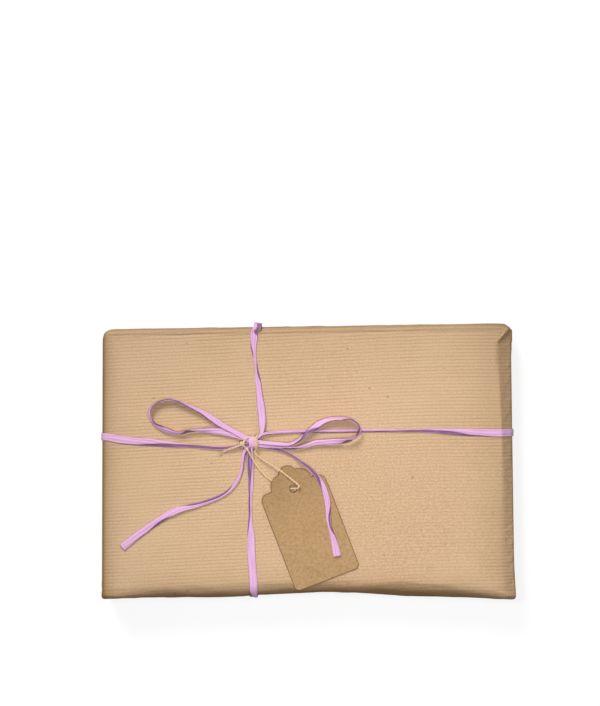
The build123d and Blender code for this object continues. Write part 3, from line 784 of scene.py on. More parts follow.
def rib_tree():
    """Geometry nodes that press the ribs into a sheet and let it lie a little unevenly."""
    tree, given = new_tree(
        "pressed_ribs",
        {
            "Rib pitch": "NodeSocketFloat",
            "Rib depth": "NodeSocketFloat",
            "Slack": "NodeSocketFloat",
            "Crumple": "NodeSocketFloat",
            "Paper": "NodeSocketMaterial",
        },
    )
    names = ("across", "rib_strength", "slack", "crumple")
    across, strength, slack_here, crumple_here = [
        add_node(
            tree, "GeometryNodeInputNamedAttribute", {"Name": name}, data_type="FLOAT"
        ).outputs[0]
        for name in names
    ]
    place = add_node(tree, "GeometryNodeInputPosition").outputs[0]
    # Five noises: the grain of each in millimetres, and how far it is drawn out along the ribs
    noises = []
    for grain, along_ribs in ((9, 1.0), (28, 1.0), (55, 1.0), (3.2, 0.25), (3.0, 0.05)):
        drawn_out = add_node(
            tree, "ShaderNodeVectorMath", {0: place, 1: (along_ribs, 1.0, 1.0)}, operation="MULTIPLY"
        ).outputs[0]
        wave = add_node(
            tree, "ShaderNodeTexNoise", {"Vector": drawn_out, "Scale": 1 / (grain * MM), "Detail": 2.0}
        ).outputs[0]
        noises.append(wave)
    uneven, worn, rolling, crushed, scuffed = noises
    left_by_wear = add_node(
        tree, "ShaderNodeMapRange", {"Value": worn, "From Min": 0.36, "From Max": 0.62, "To Min": 0.55}
    ).outputs[0]
    left_by_scuffs = add_node(
        tree, "ShaderNodeMapRange", {"Value": scuffed, "From Min": 0.36, "From Max": 0.6, "To Min": 0.7}
    ).outputs[0]
    wobble = add_node(tree, "ShaderNodeMath", {0: uneven, 1: 0.12}, operation="MULTIPLY").outputs[0]
    drift = add_node(tree, "ShaderNodeMath", {0: rolling, 1: 0.5}, operation="MULTIPLY").outputs[0]
    # A narrow wave across the ribs, which dies away where the paper is worn and scuffed
    steps = (
        ("DIVIDE", given["Rib pitch"]),
        ("ADD", wobble),
        ("ADD", drift),
        ("MULTIPLY", 2 * pi),
        ("COSINE", 0.0),
        ("ADD", 1.0),
        ("MULTIPLY", 0.5),
        ("POWER", 3.2),
        ("MULTIPLY", left_by_wear),
        ("MULTIPLY", left_by_scuffs),
        ("MULTIPLY", strength),
    )
    groove = across
    for operation, value in steps:
        groove = add_node(tree, "ShaderNodeMath", {0: groove, 1: value}, operation=operation).outputs[0]
    lift = add_node(tree, "ShaderNodeMath", {0: 0.5, 1: rolling}, operation="SUBTRACT").outputs[0]
    crease = add_node(tree, "ShaderNodeMath", {0: 0.62, 1: crushed}, operation="SUBTRACT").outputs[0]
    heights = (
        (groove, given["Rib depth"], -1.0),
        (lift, given["Slack"], slack_here),
        (crease, given["Crumple"], crumple_here),
    )
    raised = 0.0
    for wave, height, here in heights:
        full = add_node(tree, "ShaderNodeMath", {0: wave, 1: height}, operation="MULTIPLY").outputs[0]
        raised = add_node(
            tree, "ShaderNodeMath", {0: full, 1: here, 2: raised}, operation="MULTIPLY_ADD"
        ).outputs[0]
    normal = add_node(tree, "GeometryNodeInputNormal").outputs[0]
    offset = add_node(
        tree, "ShaderNodeVectorMath", {0: normal, "Scale": raised}, operation="SCALE"
    ).outputs[0]
    moved = add_node(
        tree, "GeometryNodeSetPosition", {"Geometry": given["Geometry"], "Offset": offset}
    ).outputs[0]
    # The groove is kept for the material, which paints shade at its foot
    kept = add_node(
        tree,
        "GeometryNodeStoreNamedAttribute",
        {"Geometry": moved, "Name": "groove", "Value": groove},
        data_type="FLOAT",
        domain="POINT",
    ).outputs[0]
    end_tree(tree, kept, given["Paper"])
    return tree


def press_ribs(piece, look, paper):
    """Presses the ribs into a piece of paper."""
    tree = bpy.data.node_groups.get("pressed_ribs") or rib_tree()
    with_nodes(
        piece,
        tree,
        {
            "Rib pitch": look.rib_pitch,
            "Rib depth": look.rib_depth,
            "Slack": look.slack_height,
            "Crumple": look.crumple_height,
            "Paper": paper,
        },
    )


def end_cap(rows, columns, column):
    """One face that closes an end of the sheet, behind its folds."""
    loop = [row * columns + column for row in range(rows)]
    return tuple(reversed(loop) if column else loop)


def painted_shade(distance, bands_of_shade):
    """How dark several bands of painted shade are together, at a distance in from their rim."""
    return sum(darkness * bell(distance, reach) for darkness, reach in bands_of_shade)


def painted_rim_shade(x, y):
    """How much painted shade darkens the paper at a place, along its four rims."""
    left, right, near, far = x - left_x(y), right_x(y) - x, y - near_y(x), far_y(x) - y
    far_share = painted_shade(far, FAR_SHADES)
    far_share = far_share + painted_shade(far - 3.4, [FAR_FOLD_SHADE]) * smooth_step(between(x, 118, 100))
    near_share = painted_shade(near, NEAR_SHADES) * (0.35 + 0.65 * slack(x)) + painted_shade(near, [NEAR_RIM_SHADE])
    # Painted shade on the near facet, which tilts away from the light
    on_facet = smooth_step((facet_reach(x) - near) / 0.8) * (near > 0)
    on_facet = on_facet * smooth_step(between(x, 28, 45)) * smooth_step(between(x, 110, 65))
    near_share = near_share + NEAR_FACET_SHADE * on_facet
    # Painted shade on the slanted right end and along its crease, which turn away from the light
    crease, soft = bevel_width(y), 0.5 + 4.0 * softness_of_end(y)
    right_share = SLANTED_END_SHADE * smooth_step(between(right, crease + soft, crease - soft))
    right_share = right_share * (1 - 0.7 * ear(x, y)) + painted_shade(right - 10, [SLANTED_END_CREASE_SHADE])
    left_or_far = np.maximum(painted_shade(left, LEFT_SHADES), far_share)
    return np.clip(left_or_far + np.maximum(near_share, right_share), 0, 1)


def wrap_sheet(look, paper):
    """The sheet round the box, ribbed all over."""
    grid = wrap_grid()
    rows, columns = grid.shape[:2]
    x, y, z = grid[:, :, 0], grid[:, :, 1], grid[:, :, 2]
    # The ribs are rubbed flat in the middle of the top, and the paper is crumpled along its rims
    aside, up = x - FLAT_RIBS_MIDDLE[0], y - FLAT_RIBS_MIDDLE[1]
    from_middle = np.hypot(aside / FLAT_RIBS_REACH[0], up / FLAT_RIBS_REACH[1])
    strength = 0.5 + 0.5 * smooth_step(between(from_middle, 0.35, 1.15))
    loose = np.clip(between(z, PARCEL_HEIGHT - 2.5, PARCEL_HEIGHT - 0.5), 0, 1)
    from_right = right_x(y) - x
    from_rim = np.minimum(np.minimum(far_y(x) - y, from_right), 0.6 * (y - near_y(x)))
    crumple = smooth_step(between(from_rim, 8, 2)) * (z > 8)
    crumple = crumple * smooth_step(between(from_right, 0.3, 1.6))
    values = {
        "across": [rib_place(grid, rib_shift) * MM],
        "rib_strength": [strength],
        "slack": [loose],
        "crumple": [crumple],
        # The rim value is painted shade along the rims, where the paper turns from the light
        "rim": [painted_rim_shade(x, y)],
    }
    caps = [end_cap(rows, columns, 0), end_cap(rows, columns, columns - 1)]
    mesh = plain_mesh("kraft_wrap", [(grid, True)], values, caps)
    piece = shown("kraft_wrap_base", mesh)
    press_ribs(piece, look, paper)
    return finished(piece, "kraft_wrap")


def end_point(side, y, z, out):
    """A point on an end of the parcel: side is -1 at the left and 1 at the right."""
    edge = left_x(y) if side < 0 else right_x(y) - right_wall_behind(y, z)
    return np.stack([edge + side * out, y, z], axis=-1)


def end_fold(side, look, paper):
    """The folded paper of one end: a backing, two tucked sides, the upper flap and the lower flap."""
    name = "end_fold_left" if side < 0 else "end_fold_right"
    half = PARCEL_WIDTH / 2 - FAR_EDGE_SLOPE - FAR_LEFT_RADIUS
    upper_fold = PARCEL_HEIGHT - max(TOP_EDGE_RADIUS, BEVEL_DROP)
    lower_fold = BASE_EDGE_RADIUS
    tip = upper_fold - LOWER_FLAP_BELOW_FOLD
    grids, across, flat = [], [], []

    def add(grid, ribs_run):
        # The grid is turned round where its faces would point into the parcel
        facing = np.cross(grid[1, 0] - grid[0, 0], grid[0, 1] - grid[0, 0])[0] * side
        order = slice(None) if facing < 0 else slice(None, None, -1)
        grids.append((grid[:, order], False))
        across.append(ribs_run[:, order] * MM)
        flat.append(np.zeros_like(ribs_run))

    def flap(fold, end, bulge, reach):
        t, q = np.meshgrid(np.linspace(0, 1, 14), np.linspace(-1, 1, 330), indexing="ij")
        y = q * (half - reach * t)
        z = fold + (end - fold) * t
        places = zip(y.ravel() / 22, z.ravel() / 9)
        wave = np.array([noise.noise(Vector((v, w, side * 3.7))) for v, w in places]).reshape(y.shape)
        z = z + FLAP_WAVE * t * wave
        out = 0.02 + (bulge - PAPER_THICKNESS) * t + 0.1 * np.abs(wave) * t * (1 - t)
        add(end_point(side, y, z, out), y - rib_shift(np.full_like(y, side * PARCEL_LENGTH / 2)))

    def tucked(y_edge, inwards):
        t, q = np.meshgrid(np.linspace(0, 1, 60), np.linspace(0, 1, 30), indexing="ij")
        z = lower_fold + (upper_fold - lower_fold) * t
        y = y_edge + inwards * TUCK_REACH * q
        add(end_point(side, y, z, -TUCK_BEHIND), z)

    def backing():
        t, q = np.meshgrid(np.linspace(0, 1, 40), np.linspace(0, 1, 320), indexing="ij")
        y = near_edge + (far_edge - near_edge) * q
        top = top_height(left_x(y) if side < 0 else right_x(y), y)
        add(end_point(side, y, lower_fold + (top - lower_fold) * t, -BACKING_BEHIND), y)

    near_edge = (NEAR_LEFT[1] if side < 0 else NEAR_RIGHT[1]) + SHARP_CORNER_RADIUS
    far_edge = FAR_LEFT[1] - FAR_LEFT_RADIUS
    if side > 0:
        far_edge = FAR_RIGHT[1] - FAR_RIGHT_CUT * FAR_RIGHT_CUT_SLOPE
    backing()
    tucked(near_edge, 1)
    tucked(far_edge, -1)
    flap(upper_fold, upper_fold - UPPER_FLAP_REACH, UPPER_FLAP_BULGE, UPPER_FLAP_REACH)
    flap(lower_fold, tip, LOWER_FLAP_BULGE, tip - lower_fold)
    strength = [np.ones_like(a) for a in across]
    values = {"across": across, "rib_strength": strength, "slack": flat, "crumple": flat}
    # The end folds get an even painted shade, like the rims beside them
    values["rim"] = [np.full_like(a, END_FOLD_SHADE) for a in across]
    mesh = plain_mesh(name, grids, values)
    piece = shown(f"{name}_base", mesh)
    press_ribs(piece, look, paper)
    sheet = piece.modifiers.new("paper", "SOLIDIFY")
    sheet.thickness = PAPER_THICKNESS * MM
    sheet.offset = -1
    return finished(piece, name)


# Raffia


def smooth(stations, spacing):
    """Evenly spaced points on a smooth line through the stations; their other values ride along."""
    stations = np.array(stations, dtype=float)
    steps = np.linalg.norm(np.diff(stations[:, :3], axis=0), axis=1)
    knots = np.concatenate([[0], np.cumsum(np.sqrt(steps))])
    slopes = np.gradient(stations, knots, axis=0)
    fine = []
    for i in range(len(stations) - 1):
        span = knots[i + 1] - knots[i]
        t = np.linspace(0, 1, 24, endpoint=False)[:, None]
        fine.append(
            (2 * t**3 - 3 * t**2 + 1) * stations[i]
            + (t**3 - 2 * t**2 + t) * span * slopes[i]
            + (3 * t**2 - 2 * t**3) * stations[i + 1]
            + (t**3 - t**2) * span * slopes[i + 1]
        )
    fine = np.vstack(fine + [stations[-1:]])
    walked = np.concatenate([[0], np.cumsum(np.linalg.norm(np.diff(fine[:, :3], axis=0), axis=1))])
    even = np.linspace(0, walked[-1], max(2, int(walked[-1] / spacing)))
    return np.stack([np.interp(even, walked, fine[:, k]) for k in range(fine.shape[1])], axis=1), even


def unit(vectors):
    """Vectors drawn to a length of one."""
    return vectors / np.linalg.norm(vectors, axis=-1, keepdims=True)


def zigzag(turns):
    """A wave of straight slopes between -1 and 1, one for each turn."""
    return np.abs((turns % 1) * 4 - 2) - 1


def crinkled_strip(stations, sides, seed, points_across=17, spacing=0.8, deepest=1.5):
    """A strip along its stations of x, y, z, width, roll and fold, gathered into pleats.

    sides is one direction for the whole strip, or nothing for a strip that lies level at roll 0. Its
    fold is the share of its width that turns away into a valley painted dark as shade, behind a narrow
    lip painted pale as highlight: on its left, seen along it, where the fold is above zero, and on its
    right where it is below. Its crest value carries this painted light and shade, and a painted shadow
    along both edges.
    """
    line, walked = smooth(stations, spacing)
    line[:, 2] = np.maximum(line[:, 2], RAFFIA_LOWEST)
    centre, fold = line[:, :3], line[:, 5]
    width, roll = np.maximum(line[:, 3], NARROWEST_RAFFIA), np.radians(line[:, 4])
    along = unit(np.gradient(centre, axis=0))
    level = np.cross((0, 0, 1), along) if sides is None else np.broadcast_to(sides, along.shape)
    level = unit(level - along * np.sum(level * along, axis=1, keepdims=True))
    upright = np.cross(along, level)
    side = level * np.cos(roll)[:, None] + upright * np.sin(roll)[:, None]
    out = np.cross(along, side)
    across = np.linspace(-1, 1, points_across)[None, :]
    drift = np.array([noise.noise(Vector((s / 34, seed, 0.3))) for s in walked])
    uneven = np.array([noise.noise(Vector((s / 9, seed, 5.1))) for s in walked])
    turns = 1.3 * across + 1.3 * drift[:, None] + seed * 0.37
    wave, fine = zigzag(turns), zigzag(2.3 * turns)
    share = np.abs(fold)[:, None]
    towards = np.sign(fold)[:, None] * across
    lip = smooth_step((towards - 1 + 0.36 * share) / 0.1)
    valley = smooth_step((towards - 1 + 2 * share) / 0.16) * (1 - lip) * smooth_step(share / 0.06)
    # Painted shadow along both edges of the strip, where it meets what lies under it
    edge = smooth_step((np.abs(across) - 0.8) / 0.2)
    turned = np.clip((np.abs(across) - 0.76) / 0.24, 0, 1)
    # Painted light and shade: pale on the lip and on the crests of the pleats, dark mauve in the valley
    lip_highlight, valley_shade = 0.78 + 0.14 * wave + 0.1 * fine, 0.04 + 0.06 * wave
    crest = (1 - valley) * lip_highlight + valley * valley_shade - 0.6 * edge
    bunched = np.clip(1.3 - 0.2 * width, 0.25, 0.9)[:, None]
    pleats = bunched * (0.26 * wave + 0.12 * fine) * (1 - 0.6 * valley) * (1 - turned)
    # What isn't seen of the tissue's width hangs down at both sides
    hanging = np.clip(0.4 * (RAFFIA_PAPER_WIDTH - width), 0.25, deepest) * np.cos(roll) ** 2
    on_top = centre[:, 2] > PARCEL_HEIGHT - 0.5
    clear = np.where(on_top, centre[:, 2] - PARCEL_HEIGHT - 0.3, 0.25)
    hanging = np.clip(np.minimum(hanging, clear), 0.1, None)[:, None]
    sunk = 0.1 * np.minimum(width, 4)[:, None] * valley
    raised = pleats + 0.22 * (1 - across**2) - sunk - hanging * turned
    flat_way = np.sign(across) * np.minimum(np.abs(across) / 0.86, 1)
    lateral = width[:, None] / 2 * flat_way * (1 + 0.08 * uneven[:, None])
    sideways, outwards = side[:, None, :] * lateral[..., None], out[:, None, :] * raised[..., None]
    return centre[:, None, :] + sideways + outwards, crest, walked


def strip_thickness(width):
    """The strip is thicker where it is bunched up."""
    return max(RAFFIA_THICKNESS, RAFFIA_SECTION_AREA / width)


# The bands, from the knot to their rims: the share of the way, how far aside, the width and the fold
LONG_BAND_LEFT = [
    (0.02, -0.8, 1.8, 0.8),
    (0.06, -1.8, 1.8, 0.9),
    (0.2, -3.4, 1.8, 0.9),
    (0.42, -2.2, 2.0, 0.9),
    (0.515, -1.7, 2.8, 0.75),
    (0.61, -0.9, 3.6, 0.6),
    (0.7, 0.0, 4.2, 0.35),
    (0.8, 0.5, 4.4, 0.2),
    (0.92, 1.8, 4.5, 0.12),
]
LONG_BAND_RIGHT = [
    (0.01, 1.0, 1.7, 0.2),
    (0.04, 4.6, 1.7, 0.25),
    (0.14, 6.2, 1.8, 0.3),
    (0.4, 6.9, 1.8, 0.4),
    (0.65, 7.1, 1.7, 0.7),
    (0.71, 7.0, 2.5, 0.75),
    (0.79, 6.5, 3.5, 0.6),
    (0.88, 6.0, 4.2, 0.25),
]
SHORT_BAND_FAR = [
    (0.02, 1.0, 1.8, -0.2),
    (0.07, 5.4, 1.8, -0.2),
    (0.16, 6.2, 4.3, -0.15),
    (0.28, 5.8, 4.5, -0.12),
    (0.4, 4.8, 4.1, -0.15),
    (0.53, 3.9, 3.4, -0.2),
    (0.63, 3.0, 2.1, -0.45),
    (0.71, 2.3, 1.5, -0.3),
    (0.79, 1.4, 1.8, 0.3),
    (0.88, 0.9, 3.4, 0.2),
    (0.96, 1.3, 4.2, -0.1),
]
SHORT_BAND_NEAR = [
    (0.02, -0.8, 2.0, 0.6),
    (0.12, -1.1, 4.0, 0.85),
    (0.21, -0.8, 3.4, 0.7),
    (0.31, -0.8, 2.6, 0.5),
    (0.4, -1.1, 1.8, 0.6),
    (0.49, -1.0, 2.0, 0.6),
    (0.56, -1.0, 2.9, 0.3),
    (0.63, -0.6, 4.1, 0.1),
    (0.72, -0.4, 4.6, -0.08),
    (0.87, 0.3, 4.6, 0.08),
]

# The bow, measured from the knot: x, y, how high the middle of the strip stands over the top,
# its width as a share of the whole strip, its roll in degrees, where 0 lies flat, and its fold
LEFT_LOOP = [
    (-0.5, 1.0, 2.3, 0.6, 10, 0.0),
    (-9.5, 6.0, 2.8, 0.6, 15, 0.05),
    (-16.5, 9.8, 3.0, 0.64, 20, 0.08),
    (-23.5, 14.3, 3.2, 0.66, 25, 0.1),
    (-30.5, 18.8, 3.0, 0.62, 50, 0.2),
    (-37.5, 21.8, 2.8, 0.62, 62, 0.4),
    (-48.0, 25.6, 2.5, 0.62, 72, 0.9),
    (-55.0, 24.6, 2.3, 0.62, 72, 0.95),
    (-60.0, 21.0, 2.2, 0.62, 70, 0.7),
    (-61.4, 16.5, 2.2, 0.62, 68, 0.1),
    (-58.8, 11.3, 2.2, 0.66, 62, 0.4),
    (-52.0, 7.2, 2.5, 0.82, 42, 0.15),
    (-44.7, 5.2, 2.4, 0.72, 62, -0.1),
    (-41.0, 5.5, 2.4, 0.7, 68, -0.9),
    (-37.4, 6.6, 2.4, 0.65, 66, -0.95),
    (-30.5, 6.8, 2.2, 0.6, 50, 0.0),
    (-21.3, 6.6, 2.0, 0.74, 8, 0.0),
    (-16.7, 6.2, 2.0, 0.76, 0, 0.0),
    (-9.8, 4.3, 2.0, 0.62, 0, 0.0),
    (0.0, 0.6, 1.8, 0.6, 0, 0.0),
]
RIGHT_LOOP = [
    (0.5, -0.6, 2.4, 0.65, 0, -0.15),
    (7.8, -1.9, 2.3, 0.56, 0, -0.2),
    (16.6, -2.8, 2.2, 0.5, 20, -0.3),
    (25.4, -3.6, 2.3, 0.42, 50, -0.8),
    (29.8, -2.9, 2.3, 0.42, 45, -0.4),
    (34.2, -1.7, 2.3, 0.52, 25, -0.1),
    (38.6, -0.4, 2.5, 0.64, 15, 0.05),
    (47.4, 0.2, 3.0, 0.68, 15, 0.05),
    (53.0, 0.5, 3.5, 0.7, 35, -0.3),
    (58.0, 1.2, 3.9, 0.8, 60, -0.8),
    (62.8, 3.6, 4.0, 0.7, 70, 0.2),
    (64.8, 7.0, 4.0, 0.7, 70, 0.5),
    (63.7, 10.5, 3.8, 0.66, 68, 0.95),
    (59.7, 13.6, 3.5, 0.66, 68, 0.95),
    (53.5, 14.5, 3.5, 0.78, 68, 0.15),
    (47.4, 14.2, 3.3, 0.66, 58, 0.1),
    (43.0, 12.7, 3.2, 0.62, 35, 0.1),
    (39.8, 10.9, 3.2, 0.7, 15, 0.1),
    (36.6, 8.6, 3.3, 0.62, 15, 0.5),
    (32.2, 5.2, 3.4, 0.46, 20, 0.95),
    (28.0, 1.7, 3.4, 0.34, 20, 0.3),
    (23.0, -0.7, 3.4, 0.34, 40, 0.1),
    (15.0, -0.6, 3.2, 0.44, 30, 0.1),
    (0.5, 0.6, 2.6, 0.6, 10, 0.2),
]
LEFT_TAIL = [
    (-0.4, -0.5, 1.6, 0.5, 0, 0.0),
    (-4.7, -5.8, 1.4, 0.4, 20, 0.2),
    (-5.3, -11.0, 1.2, 0.36, 0, 0.4),
    (-6.5, -18.0, 1.0, 0.34, 0, 0.3),
    (-9.2, -23.8, 1.0, 0.36, 0, 0.1),
    (-13.3, -28.7, 1.0, 0.4, 0, -0.45),
    (-18.8, -32.4, 1.0, 0.46, 0, -0.6),
    (-26.0, -35.3, 1.0, 0.5, 0, -0.6),
    (-34.0, -37.8, 1.1, 0.56, 4, -0.5),
    (-41.6, -39.6, 1.3, 0.64, 8, -0.15),
    (-47.5, -41.8, 1.4, 0.76, 6, 0.05),
    (-55.0, -46.3, 1.2, 0.76, 0, 0.4),
    (-63.0, -51.8, 1.0, 0.78, -4, 0.2),
    (-71.8, -58.3, 0.9, 0.82, 0, 0.1),
    (-78.0, -63.2, 0.8, 0.84, 0, 0.08),
]
RIGHT_TAIL_BEFORE_TAG = [
    (0.5, -1.4, 1.3, 0.36, 0, -0.6),
    (10.0, -3.2, 1.1, 0.32, 0, -0.9),
    (20.0, -5.9, 1.1, 0.22, 0, -0.9),
    (25.4, -8.6, 1.6, 0.24, 0, -0.85),
]
# On the tag the height is over the tag's face
RIGHT_TAIL_ON_TAG = [
    (30.0, -11.9, 1.3, 0.28, 0, -0.9),
    (35.1, -15.8, 1.2, 0.38, 0, -0.95),
    (39.4, -20.7, 1.0, 0.5, 0, -0.85),
    (42.5, -26.0, 0.9, 0.6, 0, -0.3),
    (44.4, -31.6, 0.9, 0.62, 0, -0.1),
    (45.6, -38.5, 0.9, 0.6, 0, 0.2),
    (45.8, -45.0, 1.0, 0.5, 10, 0.6),
    (46.7, -51.0, 1.2, 0.42, 30, 0.5),
    (48.5, -57.2, 1.0, 0.66, 15, 0.1),
    (50.2, -63.4, 0.8, 0.86, 0, 0.05),
    (51.3, -68.3, 0.7, 0.88, 0, 0.05),
]
KNOT_WRAP = [
    (0.1, -3.3, 0.4, 0.72, 0, 0.0),
    (0.1, -3.4, 1.8, 0.72, 0, 0.0),
    (0.1, -2.6, 3.1, 0.74, 0, 0.0),
    (0.1, -1.0, 3.7, 0.76, 0, 0.0),
    (0.1, 1.0, 3.7, 0.76, 0, 0.0),
    (0.1, 2.6, 3.1, 0.74, 0, 0.0),
    (0.1, 3.4, 1.8, 0.72, 0, 0.0),
    (0.1, 3.3, 0.4, 0.72, 0, 0.0),
]


def tag_axes():
    """The tag's directions across, along and out of its face."""
    turn, tilt = radians(TAG_TURN), radians(TAG_TILT)
    across = np.array((cos(turn), sin(turn), 0))
    along = np.array((-sin(turn) * cos(tilt), cos(turn) * cos(tilt), sin(tilt)))
    return across, along, np.cross(across, along)


def above_tag(x, y):
    """How high the tag's upper face is above the parcel's top, at a point measured from the knot."""
    normal = tag_axes()[2]
    upper = TAG_FOOT + normal * TAG_THICKNESS
    return upper[2] - (normal[0] * (x - upper[0]) + normal[1] * (y - upper[1])) / normal[2]


def from_knot(stations):
    """Stations measured from the knot, as places on the parcel with a width in millimetres."""
    return [
        (KNOT[0] + x, KNOT[1] + y, KNOT[2] + z, RAFFIA_WIDTH * share, roll, fold)
        for x, y, z, share, roll, fold in stations
    ]


def over_top(stations, rim_place, along_x):
    """A band's stations on the top, from the knot to a rim, at the paper's height there."""
    path = []
    for share, aside, width, fold in stations:
        if along_x:
            x, y = KNOT[0] + (rim_place - KNOT[0]) * share, KNOT[1] + aside
        else:
            x, y = KNOT[0] + aside, KNOT[1] + (rim_place - KNOT[1]) * share
        lift = KNOT_LIFT * bell(np.hypot(x - KNOT[0], y - KNOT[1]), KNOT_LIFT_REACH)
        z = paper_height(x, y) + BAND_SEAT + strip_thickness(width) / 2 + lift
        path.append((x, y, z, width, 0, fold))
    return path


def top_rim(edge, outwards, wide=TOP_EDGE_RADIUS, high=TOP_EDGE_RADIUS, extra=0.0):
    """Places and heights of a band over a rounded top rim; extra is how far it stands off it."""
    places = []
    for angle in np.radians(np.arange(0, 91, 15)):
        normal = np.array((sin(angle) / wide, cos(angle) / high))
        away = normal / np.linalg.norm(normal) * (BAND_LIFT + extra * sin(angle))
        out = edge - outwards * (wide - wide * sin(angle) - away[0])
        places.append((out, PARCEL_HEIGHT - high + high * cos(angle) + away[1]))
    return places


def base_rim(edge, outwards):
    """Places and heights of a band over the rim of the base."""
    lower = BASE_EDGE_RADIUS + BAND_LIFT
    places = []
    for angle in np.radians((0, 30, 60, 90)):
        out = edge - outwards * (BASE_EDGE_RADIUS - lower * cos(angle) ** 0.65)
        places.append((out, BASE_EDGE_RADIUS - (BASE_EDGE_RADIUS - RAFFIA_LOWEST) * sin(angle) ** 0.65))
    return places


def long_band():
    """From the knot over the left end, along the underside and back over the right end."""
    left_y, right_y = KNOT[1] + LONG_BAND_LEFT_ASIDE, KNOT[1] + LONG_BAND_RIGHT_ASIDE
    left_edge, right_edge = left_x(left_y), right_x(right_y)
    tip = PARCEL_HEIGHT - BEVEL_DROP - LOWER_FLAP_BELOW_FOLD
    left_side = top_rim(left_edge, -1)
    left_side.append((left_edge - LOWER_FLAP_BULGE - BAND_LIFT, tip))
    left_side += base_rim(left_edge, -1) + [(left_edge + 12, RAFFIA_LOWEST)]
    over_slant = right_edge - np.array((9.0, 7.0, 5.0, 3.0, 1.2))
    right_side = [(x, paper_height(x, right_y) + BAND_LIFT) for x in over_slant]
    right_side.append((right_edge + BAND_LIFT, PARCEL_HEIGHT - BEVEL_DROP - BEVEL_EDGE_DROP))
    right_side.append((right_edge + BAND_LIFT + LOWER_FLAP_BULGE, tip))
    right_side += base_rim(right_edge, 1) + [(right_edge - 12, RAFFIA_LOWEST)]
    path = over_top(LONG_BAND_LEFT, left_edge + TOP_EDGE_RADIUS, True)
    path += [(x, left_y, z, RIM_RAFFIA_WIDTH, 0, 0.1) for x, z in left_side]
    path += [(x, right_y, z, RIM_RAFFIA_WIDTH, 0, 0.1) for x, z in reversed(right_side)]
    path += reversed(over_top(LONG_BAND_RIGHT, right_edge - BEVEL_WIDTH, True))
    return path


def short_band():
    """From the knot over the far edge, along the underside and back over the near edge."""
    far_x, near_x = KNOT[0] + SHORT_BAND_FAR_ASIDE, KNOT[0] + SHORT_BAND_NEAR_ASIDE
    far_edge, near_edge = far_y(far_x), near_y(near_x)
    long_band_y = KNOT[1] + (LONG_BAND_LEFT_ASIDE + LONG_BAND_RIGHT_ASIDE) / 2
    far_side = top_rim(far_edge, 1, extra=FAR_RIM_LIFT) + base_rim(far_edge, 1)
    far_side += [(far_edge - 12, RAFFIA_LOWEST), (long_band_y + 9, RAFFIA_LOWEST)]
    near_side = top_rim(near_edge, -1, *near_rim(near_x), extra=NEAR_RIM_LIFT)
    near_side += base_rim(near_edge, -1)
    near_side += [(near_edge + 12, RAFFIA_LOWEST), (long_band_y - 9, RAFFIA_LOWEST)]
    path = over_top(SHORT_BAND_FAR, far_edge - TOP_EDGE_RADIUS, False)
    for y, z in far_side:
        lean = FAR_RIM_LEAN * smooth_step(between(y, far_edge - TOP_EDGE_RADIUS, far_edge + 0.6))
        path.append((far_x + lean, y, z, FAR_RIM_RAFFIA_WIDTH, 0, -0.6))
    crossing = ((far_x + near_x) / 2, long_band_y, RAFFIA_LOWEST + CROSSING_LIFT)
    path.append((*crossing, RIM_RAFFIA_WIDTH, 0, 0.1))
    for y, z in reversed(near_side):
        turned = smooth_step(between(z, PARCEL_HEIGHT, PARCEL_HEIGHT - 5))
        path.append((near_x, y, z, NEAR_RIM_RAFFIA_WIDTH, 0, 0.1 + 0.5 * turned))
    path += reversed(over_top(SHORT_BAND_NEAR, near_edge + TOP_EDGE_RADIUS, False))
    return path


def raffia_strip(raffia):
    """The whole strip: two bands round the parcel, the knot, two loops and two tails."""
    on_tag = [(x, y, z + above_tag(x, y), *rest) for x, y, z, *rest in RIGHT_TAIL_ON_TAG]
    right_tail = RIGHT_TAIL_BEFORE_TAG + on_tag
    strips = [
        crinkled_strip(long_band(), (0, -1, 0), 1.0),
        crinkled_strip(short_band(), (-1, 0, 0), 2.0),
        crinkled_strip(from_knot(LEFT_LOOP), None, 3.0),
        crinkled_strip(from_knot(RIGHT_LOOP), None, 4.0),
        crinkled_strip(from_knot(LEFT_TAIL), None, 5.0),
        crinkled_strip(from_knot(right_tail), None, 6.0, deepest=0.6),
        crinkled_strip(from_knot(KNOT_WRAP), None, 7.0, spacing=0.4),
    ]
    grids = [(grid, False) for grid, _, _ in strips]
    # The crest value carries the strip's painted light and shade
    mesh = plain_mesh("crinkled_raffia", grids, {"crest": [crest for _, crest, _ in strips]})
    layer = mesh.uv_layers.new(name="strip")
    uv = []
    for grid, _, walked in strips:
        across = np.linspace(0, RAFFIA_WIDTH, grid.shape[1])
        uv.append(np.stack(np.meshgrid(across, walked, indexing="xy"), axis=-1).reshape(-1, 2))
    uv = np.concatenate(uv)
    loops = np.zeros(len(mesh.loops), dtype=int)
    mesh.loops.foreach_get("vertex_index", loops)
    layer.data.foreach_set("uv", uv[loops].ravel())
    piece = shown("crinkled_raffia_base", mesh)
    mesh.materials.append(raffia)
    tissue = piece.modifiers.new("tissue", "SOLIDIFY")
    tissue.thickness = TISSUE_THICKNESS * MM
    tissue.offset = 0
    return finished(piece, "crinkled_raffia")


# Tag


def turned_arc(centre, radius, start, end, count):
    """Points of an arc from one angle to another, in degrees."""
    angles = np.radians(np.linspace(start, end, count))
    return np.array(centre) + radius * np.stack([np.cos(angles), np.sin(angles)], axis=1)


def bulging_arc(start, end, radius, count=12):
    """Points of an arc that bulges to the right of the way from its start to its end."""
    start, end = np.array(start), np.array(end)
    way = end - start
    half = np.linalg.norm(way) / 2
    left = np.array((-way[1], way[0])) / (2 * half)
    centre = (start + end) / 2 + left * np.sqrt(radius**2 - half**2)
    first = np.degrees(np.arctan2(*(start - centre)[::-1]))
    last = np.degrees(np.arctan2(*(end - centre)[::-1]))
    return turned_arc(centre, radius, first, last + 360 * (last < first), count)


